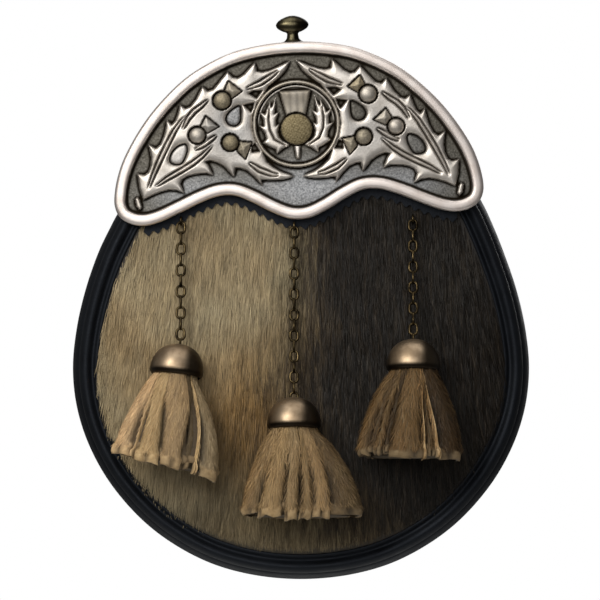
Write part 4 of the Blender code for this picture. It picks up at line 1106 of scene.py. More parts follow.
def rounded_slot(half, low, high):
    corner = (high - low) / 2
    turns = np.linspace(-math.pi / 2, math.pi / 2, MOUTH_STEPS)
    right = [(half - corner + corner * math.cos(t), (low + high) / 2 + corner * math.sin(t)) for t in turns]
    return lean(right + [(-x, z) for x, z in right[::-1]])


def flap_outline():
    half, low, high = FLAP
    side = []
    for turn in np.linspace(-math.pi / 2, 0, 12):
        side.append((half - FLAP_CORNER * (1 - math.cos(turn)), low + FLAP_CORNER * (1 + math.sin(turn))))
    side += [(half, z) for z in np.linspace(low + FLAP_CORNER, high + FLAP_TOP[0][1], 8)[1:]]
    side += [(half + x, high + z) for x, z in FLAP_TOP[1:]]
    return lean(side + [(-x, z) for x, z in side[::-1]])


def stitched(name, edge, distance, depth):
    """A seam on a flat face, so far in from an edge."""
    flat = inset(edge, distance)
    line = edge_line(name + "_line", [upright(np.concatenate([flat, flat[:1]]), depth)])
    values = {"Pitch": STITCH_PITCH * MM, "Thread": THREAD_WIDE * MM, "Facing": (0, 1, 0), "Surface": thread}
    return grown(name, line, stitches_tree, values)


for name, node, rings in (
    ("gusset_wall", "gusset", list(side_wall())),
    ("piped_border", "front_welt", list(front_border())),
):
    faces = ring_faces(len(rings), FINE_STEPS, True)
    give(make_piece(name, np.concatenate(rings), faces, black_leather), "black_leather", node)
back_edge, flap_edge = inset(fine_line, BACK_INSET), flap_outline()
back_far, flap_far = BACK_FACE - BACK_THICK, BACK_FACE + GAP
flap_near = flap_far + FLAP_THICK
back = soft_plate("back_leather", back_edge, [rounded_slot(*MOUTH)], back_far, BACK_FACE, black_leather)
give(back, "black_leather", "back_panel")
flap = soft_plate("mouth_flap", flap_edge, [], flap_far, flap_near, black_leather)
give(flap, "black_leather", "back_flap")
for side_name in ("left", "right"):
    node = "belt_loop_" + side_name
    give(softened("belt_loop_stitched_" + side_name, node, 0.5, black_leather), "black_leather", node)
give(softened("snap_stud", "flap_snap", 0.4, dark_brass), "dark_brass", "flap_snap")
give(stitched("back_seam_stitches", back_edge, 3.4, BACK_FACE), "black_leather")
give(stitched("flap_stitches", flap_edge, 3.0, flap_near), "black_leather")


# ---------------------------------------------------------------- cast cantle

cantle_line = closed_curve(CANTLE_HALF + [(-u, v) for u, v in CANTLE_HALF[-2:0:-1]], CANTLE_STEPS, 60)
bosses = []
for which, tints in BOSS_LIGHT.items():
    bosses += zip(on_both(closed_curve(LEAF_HOLES[which], BOSS_STEPS)), tints)
hole_loops = [loop for loop, _ in bosses]
hole_loops += on_both(*(hole for which, hole in enumerate(LEAF_HOLES) if which not in BOSS_LIGHT))
berries = [(u, v, r, left) for u, v, r, left, _ in BERRIES]
berries += [(2 * MIDDLE - u, v, r, right) for u, v, r, _, right in BERRIES]


def hump(distance, middle, half):
    """1 at the middle, easing to 0 at the half width on each side."""
    return smooth(1 - np.abs(distance - middle) / half)


def rolled(depth, shoulder):
    """A quarter round from an edge up to its shoulder."""
    return np.sqrt(np.clip(1 - (1 - np.clip(depth / shoulder, 0, 1)) ** 2, 0, 1))


def rim_height(edge):
    return RIM_HIGH * np.clip(1 - np.abs((edge - RIM_MIDDLE) / RIM_HALF) ** RIM_FLAT, 0, 1) ** (1 / RIM_FLAT)


def along_line(points, line):
    """Distance of each point from an open line, and the share of its length where it passes nearest."""
    line = np.asarray(line, float)
    run = np.concatenate([[0], np.cumsum(np.linalg.norm(np.diff(line, axis=0), axis=1))])
    best, share = np.full(len(points), 1e9), np.zeros(len(points))
    for k, (p, q) in enumerate(zip(line, line[1:])):
        way = q - p
        part = np.clip(((points - p) @ way) / (way @ way), 0, 1)
        far = np.linalg.norm(points - p - part[:, None] * way, axis=1)
        share = np.where(far < best, (run[k] + part * (run[k + 1] - run[k])) / run[-1], share)
        best = np.minimum(best, far)
    return best, share


def veins(flat):
    """Depth and crest of the veins: two grooves that part from a point and close to a point again."""
    groove, crest = np.zeros(len(flat)), np.zeros(len(flat))
    for line in on_both(*LEAF_VEINS):
        far, share = along_line(flat, line)
        spread = np.sqrt(np.clip(np.sin(math.pi * share), 0, 1))
        ends = smooth(12 * share) * smooth(12 * (1 - share))
        half = VEIN_HALF * (0.6 + 0.4 * spread)
        groove = np.maximum(groove, hump(far, VEIN_AT * spread, half) * ends)
        crest = np.maximum(crest, hump(far, 0, np.maximum(VEIN_AT * spread - half / 2, 0.1)) * ends)
    return groove, crest


def cast_work(flat):
    """Height of the cast work above its field, how brassy it is there, how grey and how dark."""
    brass, grey, dark = (np.zeros(len(flat)) for _ in range(3))
    leaf = np.max([depth_in(flat, loop) for loop in on_both(LEAF_LINE)], axis=0)
    for loop in hole_loops:
        leaf = np.minimum(leaf, -depth_in(flat, loop))
    groove, crest = veins(flat)
    body = LEAF_HIGH * rolled(leaf, LEAF_SHOULDER) + LEAF_SWELL * rolled(leaf, LEAF_RIDGE)
    body += VEIN_CREST * crest * (leaf > 0.3) - VEIN_DEEP * groove * smooth((leaf - 0.2) / 0.6)
    high = np.where(leaf > 0, body, 0)
    for *where, much in GREYED:
        grey = np.maximum(grey, much * glow(flat, *where) * smooth((leaf - 0.7) / 1.4) * (1 - crest))
    for loop, tint in bosses:
        far = depth_in(flat, loop) - 0.55
        high = np.where(far > 0, BOSS_LOW + BOSS_DOME * rolled(far, 1.6), high)
        grey = np.where(far > 0, min(1.9 - tint, 1.0), grey)
    for corner, tint in zip(on_both(*CUPS), CUP_TINTS):
        far = depth_in(flat, corner)
        faces = CUP_LOW + CUP_DOME * np.clip(far / 1.8, 0, 1)
        high = np.where(far > 0, faces, np.where(far > -0.5, 0.3, high))
        brass = np.where(far > 0, tint, brass)
    for u, v, radius, tint in berries:
        far = np.hypot(flat[:, 0] - u, flat[:, 1] - v) / radius
        ball = BERRY_LOW + BERRY_DOME * np.sqrt(np.clip(1 - far**2, 0, 1))
        high = np.where(far < 1, ball, np.where(far < 1.22, 0.2, high))
        brass = np.where(far < 1, tint, brass)
    for loop in on_both(STEM_END):
        far = depth_in(flat, loop)
        high = np.maximum(high, STEM_HIGH * rolled(far, 0.6) * (far > 0))
    centre = np.hypot(flat[:, 0] - RING_CENTRE[0], flat[:, 1] - RING_CENTRE[1])
    high = np.where(centre < RING_RADIUS, 0, high)
    band = np.clip(1 - ((centre - RING_RADIUS) / (RING_WIRE * 0.62)) ** 2, 0, 1)
    high = np.where(band > 0, RING_LOW + RING_DOME * np.sqrt(band), high)
    brass = np.where(band > 0, RING_BRASS, np.where(centre < RING_RADIUS, 0, brass))
    line = INNER_LINE_HIGH * hump(centre, RING_INNER, 0.6) * smooth((flat[:, 1] + 2.0) / 8.0)
    high = np.maximum(high, line)
    vein = np.min([along_line(flat, line)[0] for line in on_both(THISTLE_VEIN)], axis=0)
    for loop in on_both(THISTLE_LEAF):
        far = depth_in(flat, loop)
        body = THISTLE_HIGH * rolled(far, 0.6) + THISTLE_SWELL * rolled(far, 1.8)
        body -= THISTLE_VEIN_DEEP * hump(vein, 0, 0.6) * smooth(far / 0.5)
        high = np.where(far > 0, np.maximum(high, body), high)
    far = depth_in(flat, STALK)
    high = np.where(far > 0, STALK_HIGH * rolled(far, 0.8), high)
    far = depth_in(flat, CROWN)
    flutes = FLUTE_DEEP * np.cos((flat[:, 0] - MIDDLE) * 2.2) * smooth(far / 1.2)
    flared = CROWN_FLARE * smooth((flat[:, 1] - 7.0) / 6.0)
    high = np.where(far > 0, CROWN_LOW + CROWN_DOME * rolled(far, 1.3) + flared + flutes, high)
    brass = np.where(far > 0, CROWN_BRASS, brass)
    dark = np.where(far > 0, CROWN_DARK, dark)
    far = np.hypot(flat[:, 0] - BULB[0], flat[:, 1] - BULB[1]) / BULB[2]
    knurl = KNURL_DEEP * np.sin(flat[:, 0] * 3.7 + flat[:, 1]) * np.sin(flat[:, 1] * 4.2 - flat[:, 0])
    ball = BULB_LOW + BULB_DOME * np.sqrt(np.clip(1 - far**2, 0, 1)) + knurl * smooth((1 - far) / 0.15)
    high = np.where(far < 1, ball, np.where(far < 1.1, 0, high))
    brass = np.where(far < 1, BULB_BRASS, brass)
    dark = np.where(far < 1, BULB_DARK, dark)
    return high, brass, grey, dark


def field_light(flat):
    """0 where the field keeps its dull brown, at the sides and top, and 1 where a painted reflection lightens it
    at the bottom.
    """
    corners = np.max([glow(flat, *where) for where in FIELD_REFLECTION_CORNERS], axis=0)
    light = glow(flat, *FIELD_REFLECTION_MIDDLE) + CORNER_REFLECTION * corners
    for loop, tint in bosses:
        light = np.where(depth_in(flat, loop) > 0, tint, light)
    return np.clip(light, 0, 1)


def blurred(grid, reach):
    """A grid averaged over so many cells each way, twice."""
    for _ in range(2):
        for axis in (0, 1):
            grid = np.mean([np.roll(grid, k, axis=axis) for k in range(-reach, reach + 1)], axis=0)
    return grid


def cast_cantle():
    """The cast plate: a rolled rim, stitched to a fine field of relief, over a flat back."""
    low, high = cantle_line.min(axis=0), cantle_line.max(axis=0)
    us = np.arange(low[0], high[0], CAST_SPACING)
    vs = np.arange(low[1], high[1], CAST_SPACING)
    across, up = len(us), len(vs)
    nodes = np.stack(np.meshgrid(us, vs, indexing="ij"), axis=-1).reshape(-1, 2)
    edge = depth_in(nodes, cantle_line[::3])
    inner_edge = RIM_MIDDLE + RIM_HALF
    height, brass, grey, dark = cast_work(nodes)
    height = np.where(edge < inner_edge, rim_height(edge), height)
    grid = height.reshape(across, up)
    hollow = blurred(grid, 3) - grid
    patina = np.clip((hollow - 0.1) / 0.42, 0, 1).reshape(-1)
    patina = np.maximum(patina, dark)
    field = smooth(1 - height / 0.4)
    # a greyed leaf takes the light tone of the field
    lit = np.where((grey > 0) & (height > 1.2), 0.6, field_light(nodes))
    field = np.maximum(field, grey)
    good = (edge > inner_edge + 0.25).reshape(across, up)
    cells = good[:-1, :-1] & good[1:, :-1] & good[:-1, 1:] & good[1:, 1:]
    i, j = np.nonzero(cells)
    number = np.arange(across * up).reshape(across, up)
    quads = np.stack([number[i, j], number[i + 1, j], number[i + 1, j + 1], number[i, j + 1]], axis=1)
    rim_sides = open_sides(quads)
    rim_nodes = np.unique(rim_sides)
    # rolled rim, from the back edge over the crest to the field
    rows = [(0.6, 0.0), (0.15, 0.15), (0.0, 0.6)]
    first = math.acos((RIM_MIDDLE / RIM_HALF) ** (RIM_FLAT / 2))
    for level in np.cos(np.linspace(first, math.pi, RIM_ROWS)):
        from_edge = max(RIM_MIDDLE - RIM_HALF * math.copysign(abs(level) ** (2 / RIM_FLAT), level), 0.0)
        rows.append((from_edge, CANTLE_PLATE + float(rim_height(from_edge))))
    points, marks = [], []
    for distance, rise in rows:
        flat = inset(cantle_line, distance)
        points.append(cantle_space(flat, rise))
        # the foot of the rim, where it steps down to the field, is painted dark: oxide in the recess and painted
        # shade
        dark = 0.9 if distance > inner_edge - 0.3 else 0.0
        # the back is left as it came from the mould
        rough_back = (0.3, 1.0, 0.0, 0.2, 0.0)
        mark = rough_back if rise < CANTLE_PLATE / 5 else (dark, 0.0, 0.0, 0.0, 1.0)
        marks.append(np.full((len(flat), 5), mark))
    rim_count = len(rows) * CANTLE_STEPS
    faces = ring_faces(len(rows), CANTLE_STEPS).tolist()
    # band between the rim and the field
    inner_loop = inset(cantle_line, rows[-1][0])
    last_row = rim_count - CANTLE_STEPS
    flat = [Vector(p) for p in inner_loop] + [Vector(p) for p in nodes[rim_nodes]]
    place = {int(n): k + CANTLE_STEPS for k, n in enumerate(rim_nodes)}
    edges = [(k, (k + 1) % CANTLE_STEPS) for k in range(CANTLE_STEPS)]
    edges += [(place[int(a)], place[int(b)]) for a, b in rim_sides]
    made = delaunay_2d_cdt(flat, edges, [], 0, 1e-7)
    corners = np.array([tuple(p) for p in made[0]])
    band = np.array([tuple(f) for f in made[2]])
    middles = corners[band].mean(axis=1)
    ci = np.clip(((middles[:, 0] - low[0]) / CAST_SPACING).astype(int), 0, across - 2)
    cj = np.clip(((middles[:, 1] - low[1]) / CAST_SPACING).astype(int), 0, up - 2)
    band = band[inside(middles, inner_loop) & ~cells[ci, cj]]
    used = np.unique(quads)
    new_number = np.full(across * up, -1)
    new_number[used] = np.arange(len(used)) + rim_count
    origin = np.array([o[0] for o in made[3]])
    to_mesh = np.where(
        origin < CANTLE_STEPS, origin + last_row, new_number[rim_nodes[np.maximum(origin - CANTLE_STEPS, 0)]]
    )
    faces += to_mesh[band].tolist() + new_number[quads].tolist()
    points.append(cantle_space(nodes[used], CANTLE_PLATE + height[used]))
    marks.append(np.stack([patina, field, brass, lit, np.zeros(len(nodes))], axis=1)[used])
    # flat back
    back_loop = inset(cantle_line, rows[0][0])
    _, back_faces, numbers = mesh_between([back_loop], [], lambda p: inside(p, back_loop))
    faces += numbers[back_faces].tolist()
    marks = np.concatenate(marks)
    numbers = {key: marks[:, k] for k, key in enumerate(("patina", "field", "brass", "lit", "rim"))}
    return make_piece("cantle_cast", np.concatenate(points), faces, cast_metal, numbers)


give(cast_cantle(), "cast_metal", "cantle")


def pinked_edging():
    """Thin leather strip with a toothed lower edge, tucked under the cantle."""
    lower = [p for p in cantle_line.tolist() if p[1] < STRIP_BELOW and abs(p[0]) <= STRIP_END]
    lower = np.array(sorted(lower))
    reach = np.linspace(-STRIP_END + 2, STRIP_END - 2, 400)
    edge = np.stack([reach, np.interp(reach, lower[:, 0], lower[:, 1])], axis=1)
    along = np.concatenate([[0], np.cumsum(np.linalg.norm(np.diff(edge, axis=0), axis=1))])
    teeth = int(along[-1] / TOOTH_PITCH)
    saw = []
    for k in range(TOOTH_STEPS * teeth + 1):
        at = along[-1] * k / (TOOTH_STEPS * teeth)
        # soft rounded teeth
        bite = math.cos(math.pi * k / TOOTH_STEPS) ** 2
        u, v = np.interp(at, along, edge[:, 0]), np.interp(at, along, edge[:, 1])
        saw.append((u, v - STRIP_SHOWS + TOOTH_DEPTH * bite))
    tuck = [(u, v + STRIP_TUCK) for u, v in edge[::-8]]
    outline = np.array(saw + tuck)
    flat, flat_faces, _ = mesh_between([outline], [], lambda p: inside(p, outline))
    behind = CANTLE_BACK - STRIP_BACK
    points = np.concatenate([cantle_space(flat, high) for high in (behind + STRIP_THICK, behind)])
    return make_piece("pinked_edging", points, thick_faces(flat_faces, len(flat)), black_leather, sharp=50)


give(pinked_edging(), "black_leather", "pinked_strip")


def knob():
    rows = through(KNOB_LINE, 4)
    knob_y = CANTLE_BACK - (CANTLE_PLATE + 0.7) / 2
    turns = 2 * math.pi * np.arange(KNOB_SIDES) / KNOB_SIDES
    points = []
    for up, wide, deep in rows:
        u = KNOB_U + max(wide, 0.05) * np.cos(turns)
        v = CANTLE_HALF[0][1] + GAP + up
        ring = cantle_space(np.stack([u, np.full(KNOB_SIDES, v)], axis=1), 0)
        ring[:, 1] = knob_y + max(deep, 0.05) * np.sin(turns)
        points.append(ring)
    # painted shade: the knob's right side is darker
    tarnish = {"tarnish": np.tile(0.85 * smooth((np.cos(turns) - 0.05) / 0.35), len(rows))}
    faces = stack_faces(len(rows), KNOB_SIDES)
    return make_piece("finial_turned", np.concatenate(points), faces, knob_brass, tarnish, sharp=60)


give(knob(), "dark_brass", "top_knob")


# ---------------------------------------------------------------- hide front


def turned_out(faces, points, out):
    """Faces with their fronts towards a direction, one for all of them or one for each."""
    corner = points[faces]
    normal = np.cross(corner[:, 1] - corner[:, 0], corner[:, 2] - corner[:, 0])
    return faces if (normal * out).sum() > 0 else faces[:, ::-1]


def hair(name, points, faces, numbers, surface, seed, density, length, wide, lift, sway, lock):
    """Strands on a bed of faces that carries their numbers."""
    base = make_piece("hair_bed", points, faces, None, numbers, closed=False)
    values = {
        "Density": density, "Length": length * MM, "Width": wide * MM, "Lift": lift * MM, "Sway": sway,
        "Roll": HAIR_ROLL, "Lock": tuple(size * MM for size in lock), "Seed": seed, "Surface": surface,
    }
    return grown(name, base, hair_tree, values)


def hide_flow(flat):
    """Which way the hair lies at each point of the front: down, and outwards from the middle."""
    step = 0.5
    way = np.stack([flat[:, 0] * HAIR_FLARE, np.full(len(flat), -1.0)], axis=1)
    ahead = flat + way * step
    return upright(way, (panel_face(ahead) - panel_face(flat)) / step)


def darkness(flat):
    """0 on the blond left of the hide, 1 on its dark right."""
    heights, blond, dark = (np.array(row) for row in zip(*DARKENING))
    wander = 2.4 * np.sin(flat[:, 1] / 13.0) + 1.5 * np.sin(flat[:, 1] / 5.3 + 1.0)
    low = np.interp(flat[:, 1], heights, blond) + wander
    high = np.interp(flat[:, 1], heights, dark) + wander
    return np.clip((flat[:, 0] - low) / (high - low), 0, 1)


def hide_light(flat):
    """How bright the hair is at each point, with the dips that its own folds and the tassels make."""
    return np.prod([1 - less * glow(flat, *where) for *where, less in SHADED], axis=0)


def hide_warmth(flat):
    """How much browner the coat is at each point."""
    return np.sum([much * glow(flat, *where) for *where, much in BROWNER], axis=0)


def hide_front():
    """The skin, and two coats of strands on it."""
    edge = inset(fine_line, PANEL_INSET + 0.4)
    bald = WORN_WIDE * smooth((WORN_FROM - fine_line[:, 1]) / WORN_OVER)[:, None]
    # two rings of points mark where the hair begins
    inner = [fine_line - outward(fine_line) * (HAIR_START + more + bald) for more in (-0.5, 0.7)]
    grid = grid_inside(inset(fine_line, HAIR_START + WORN_WIDE + 2.0), 3.0, 0.3)
    flat, faces, _ = mesh_between([edge], np.concatenate([*inner, grid]), lambda p: inside(p, edge))
    count = len(flat)
    from_edge = depth_in(flat, fine_line[::3])
    # the border's lip presses the skin down along its edge
    pressed = 0.5 * (1 - smooth((from_edge - PANEL_INSET) / 3.0))
    front = upright(flat, panel_face(flat) + pressed)
    back = front + (0, PANEL_THICK - 0.5, 0)
    dark = darkness(flat)
    # painted shadow: the bare edge of the skin is painted dark, as the border's shadow on it
    painted_edge_shadow = {"dark": np.tile(np.maximum(dark, 1 - smooth((from_edge - HAIR_START - 0.2) / 1.6)), 2)}
    both = np.concatenate([front, back])
    give(make_piece("hide_skin", both, thick_faces(faces, count), skin, painted_edge_shadow), "hair_on_hide", "front_panel")
    flow = hide_flow(flat)
    worn = WORN_WIDE * smooth((WORN_FROM - flat[:, 1]) / WORN_OVER)
    cover = smooth((from_edge - worn - HAIR_START + 0.4) / 0.8)
    reach = np.ones(count)
    for share in (0.9, 0.7, 0.5, 0.3, 0.15):
        tip = flat + flow[:, [0, 2]] * HAIR_LENGTH * share
        reach = np.where(depth_in(tip, fine_line[::3]) - worn < PANEL_INSET + 0.8, share, reach)
    lie = np.stack([flat[:, 0] * np.exp(-HAIR_FLARE * (50 - flat[:, 1])), np.zeros(count), flat[:, 1]], axis=1)
    numbers = {
        "flow": flow, "dark": dark, "cover": cover, "reach": np.maximum(reach, 0.2), "lie": lie * MM,
        "bright": hide_light(flat), "warm": hide_warmth(flat),
    }
    facing = turned_out(faces, front, (0, -1, 0))
    for coat, length, lift in COATS:
        sizes = (HAIR_DENSITY, length, HAIR_WIDE, lift, HAIR_SWAY, HAIR_LOCK)
        piece = hair(f"hide_hair_coat_{coat}", front, facing, numbers, front_hair, SEED + coat, *sizes)
        give(piece, "hair_on_hide")


hide_front()


# ---------------------------------------------------------------- chains, caps and tassels


def leaning(degrees):
    """The sideways and the downward direction of something whose foot swings out to the left."""
    turn = math.radians(degrees)
    side = np.array([math.cos(turn), 0, -math.sin(turn)])
    plumb = np.array([-math.sin(turn), 0, -math.cos(turn)])
    return side, plumb


def hang(name, x, staple_z, count, pitch, on_strip):
    """Where a chain, its cap and its tassel hang, worked out from the staple and the hide below it."""
    link_half = (pitch + LINK_PLAY + LINK_WIRE) / 2
    base = (STRIP_BACK - STRIP_THICK if on_strip else PANEL_FRONT) + float(bow(x)) - GAP
    crown = base - STAPLE_OUT
    side, plumb = leaning(TASSELS[name][0])
    down = plumb * math.cos(CAP_FORWARD) + np.array([0, -math.sin(CAP_FORWARD), 0])
    ahead = np.cross(down, side)
    seat = LINK_WIRE + LINK_PLAY
    top = np.array([x, crown + seat, staple_z - STAPLE_HALF + seat])
    reach = 2 * link_half + (count - 1) * pitch
    foot_y = crown
    for _ in range(8):
        foot = np.array([x, foot_y, top[2] - math.sqrt(reach**2 - (foot_y - top[1]) ** 2)])
        way = (foot - top) / np.linalg.norm(foot - top)
        eye = foot - way * seat + down * EYE_RADIUS
        crest = eye + down * EYE_RADIUS * EYE_SHOWS
        shell = np.concatenate(turned(crest, down, side, ahead, CAP_OUTER, CAP_SIDES))
        foot_y += float(np.min(panel_face(shell[:, [0, 2]]) - shell[:, 1])) - CAP_STANDS_OFF
    tassel_side, tassel_plumb = leaning(TASSELS[name][1])
    return {
        "base": base, "crown": crown, "top": top, "way": way, "half": link_half, "eye": eye, "crest": crest,
        "side": side, "down": down, "ahead": ahead, "across": tassel_side, "plumb": tassel_plumb,
        "mouth": crest + down * CAP_INNER[0][0],
    }


def staple(name, x, staple_z, spot):
    turns = np.linspace(0, math.pi, 12)
    bend = [
        (x, spot["crown"] + STAPLE_HALF * (1 - math.sin(t)), staple_z + STAPLE_HALF * math.cos(t)) for t in turns
    ]
    path = [(x, spot["base"], staple_z + STAPLE_HALF)] + bend + [(x, spot["base"], staple_z - STAPLE_HALF)]
    points, faces = wire(path, (1, 0, 0), LINK_WIRE / 2, 12, False)
    return make_piece("staple_bent_" + name, points, faces, dark_brass, sharp=60)


def chain(name, count, pitch, spot):
    """Links made by the tree, turned to hang along the chain's way."""
    half_width = (LINK_WIDTH - LINK_WIRE) / 2
    base = edge_line("chain_seed", [[(0, 0, ORIGIN_Z), (0, 0, ORIGIN_Z - 1)]])
    values = {
        "Links": count, "Pitch": pitch * MM, "Wire": LINK_ROUND / 2 * MM, "Half Width": half_width * MM,
        "Half Straight": (spot["half"] - LINK_WIRE / 2 - half_width) * MM, "Surface": dark_brass,
    }
    piece = grown("chain_links_" + name, base, links_tree, values)
    way = Vector(spot["way"])
    front = way.cross(Vector((1, 0, 0)))
    first = placed([spot["top"] + spot["way"] * (spot["half"] - LINK_WIRE / 2)])[0]
    turn = Matrix((Vector((1, 0, 0)), -front, -way)).transposed().to_4x4()
    piece.data.transform(Matrix.Translation(first) @ turn)
    return piece


def cap(name, count, spot):
    """A pressed dome with a rolled mouth and a wire eye on top."""
    rings = turned(spot["crest"], spot["down"], spot["side"], spot["ahead"], CAP_SECTION, CAP_ROUND)
    dome = (np.concatenate(rings), stack_faces(len(rings), CAP_ROUND))
    tarnish, outside = [], True
    for k, (low, radius) in enumerate(CAP_SECTION):
        outside = outside and (k == 0 or low > CAP_SECTION[k - 1][0])
        across = np.cos(2 * math.pi * np.arange(CAP_ROUND) / CAP_ROUND) * radius / CAP_OUTER[-1][1]
        # painted shade: darker on the right side and round the left outline
        shaded = np.maximum(0.85 * smooth((across - 0.2) / 0.3), 0.7 * smooth((-across - 0.8) / 0.15))
        # toward the rolled mouth and inside the cap: tarnished and in painted shade
        mouth = smooth((low - TARNISH_AND_SHADE_FROM) / 1.4) if outside else 1.0
        tarnish.append(np.maximum(shaded, 0.95 * mouth))
    odd = count % 2 == 1
    across = spot["ahead"] if odd else spot["side"]
    flat_way = spot["side"] if odd else spot["ahead"]
    turns = np.linspace(0, 2 * math.pi, 24, endpoint=False)
    path = [spot["eye"] + EYE_RADIUS * (spot["down"] * math.cos(t) + across * math.sin(t)) for t in turns]
    ring = wire(path, flat_way, LINK_WIRE / 2, 12, True)
    give(make_piece("cap_eye_" + name, *ring, dark_brass), "dark_brass")
    return make_piece("cap_domed_" + name, *dome, cap_bronze, {"tarnish": np.concatenate(tarnish)}, sharp=70)


def tassel_point(spot, sizes, turn, share, out):
    """A point of a tassel: turn round it from the front, share down it, and mm out of its skin."""
    shift, half, length = sizes
    flare = 1 - (1 - np.clip(share, 0, 1)) ** 2
    wide = TASSEL_MOUTH + (half - TASSEL_MOUTH) * flare + out
    deep = TASSEL_MOUTH + (TASSEL_DEPTH - TASSEL_MOUTH) * flare + out
    drop = length * share
    forward = -math.sin(CAP_FORWARD) * drop * (1 - share / 2)
    point = spot["mouth"] + np.outer(drop, spot["plumb"]) + np.outer(forward, (0, 1, 0))
    point += np.outer(wide * np.sin(turn) + shift * flare, spot["across"])
    return point + np.outer(deep * np.cos(turn), spot["ahead"])


def strip_mesh(spot, sizes, row, ragged, rows=DOWN_STRIP, shrink=0.0):
    """One strip of hide: its points, faces, attributes and the faces of its hair side."""
    top_a, top_b, foot_a, foot_b, opens, tone, shade, set_back, longer, pale = row
    length = sizes[2]
    shares = np.concatenate([np.linspace(-0.13, 0.87, rows - DOWN_FOOT), np.linspace(0.895, 1.0, DOWN_FOOT)])
    q = np.linspace(0, 1, ACROSS_STRIP)
    edge = np.abs(2 * q - 1)
    # the curled foot gapes at one place, and wavers
    gape = np.clip(1 - np.abs(q - 0.5 - 0.35 * ragged[0]) / 0.2, 0, 1)
    ragged = np.interp(q, q[::2], ragged[::2])
    points, marks = [], []
    for share in shares:
        ease = np.clip(share, 0, 1) ** 0.9
        a, b = top_a + (foot_a - top_a) * ease, top_b + (foot_b - top_b) * ease
        # the strips part where they open and close up again where their feet curl
        parted = smooth((share - opens + 0.1) / 0.3) * (1 - smooth((share - FOOT_FROM + 0.05) / 0.06))
        slit = SLIT / 2 * parted / (TASSEL_MOUTH + 10 * ease)
        a, b = a + slit, b - slit
        # the strip's edges wander a little as it hangs
        wander = 0.012 * math.sin(9 * share + 5 * top_a) * smooth(share / 0.3)
        turn = a + (b - a) * q + wander
        wide = abs(b - a) * (TASSEL_MOUTH + 8 * ease)
        swell = 0.1 * wide * (1 - edge**2)
        roll_in = 1.1 * edge**6 * parted
        # the foot curls forward into a loose bead
        bead = np.sqrt(np.clip(1 - ((share - 0.945 - 0.012 * ragged) / 0.06) ** 2, 0, 1))
        curl = bead * (1.2 * (1 - 0.5 * edge**4) + 0.4 * ragged - 1.8 * gape)
        out = swell - roll_in + curl - set_back * smooth(share / 0.3) - shrink
        foot = share * (1 + longer * share**2 / length)
        last = smooth((share - 0.85) / 0.15)
        drop = foot - ragged * 0.7 / length * last
        outer, inner = (tassel_point(spot, sizes, turn, drop, out - deep) for deep in (0.0, HIDE_THICK))
        points += list(outer) + list(inner[::-1])
        curled = share > FOOT_FROM
        cut_edge = (q > 1 - pale) * (share > opens)
        # painted shade: each strip darkens toward its edges where the strips part, in the slits
        bright = np.maximum(shade * (1 - 0.8 * edge**5 * (pale == 0) * parted), 0.9 * cut_edge)
        raw = np.maximum(cut_edge, 0.55 * curled)
        if curled:
            # painted shade: the foot darkens in its gape and toward its edges, between the curls
            bright = np.maximum(bright, 0.4) * (1 - 0.8 * gape) * (1 - 0.3 * edge**6)
        marks += [(tone, s, r, share) for s, r in zip(bright, np.broadcast_to(raw, q.shape))]
        # painted shade: the inner face of the strip, toward the core, is three times darker
        marks += [(tone, shade * 0.3, 0.3 * (share > 0.5), share)] * ACROSS_STRIP
    width = 2 * ACROSS_STRIP
    bed = []
    for k in range(1, rows - 2):
        for j in range(ACROSS_STRIP - 1):
            bed.append((k * width + j, k * width + j + 1, (k + 1) * width + j + 1, (k + 1) * width + j))
    return points, stack_faces(rows, width), marks, bed


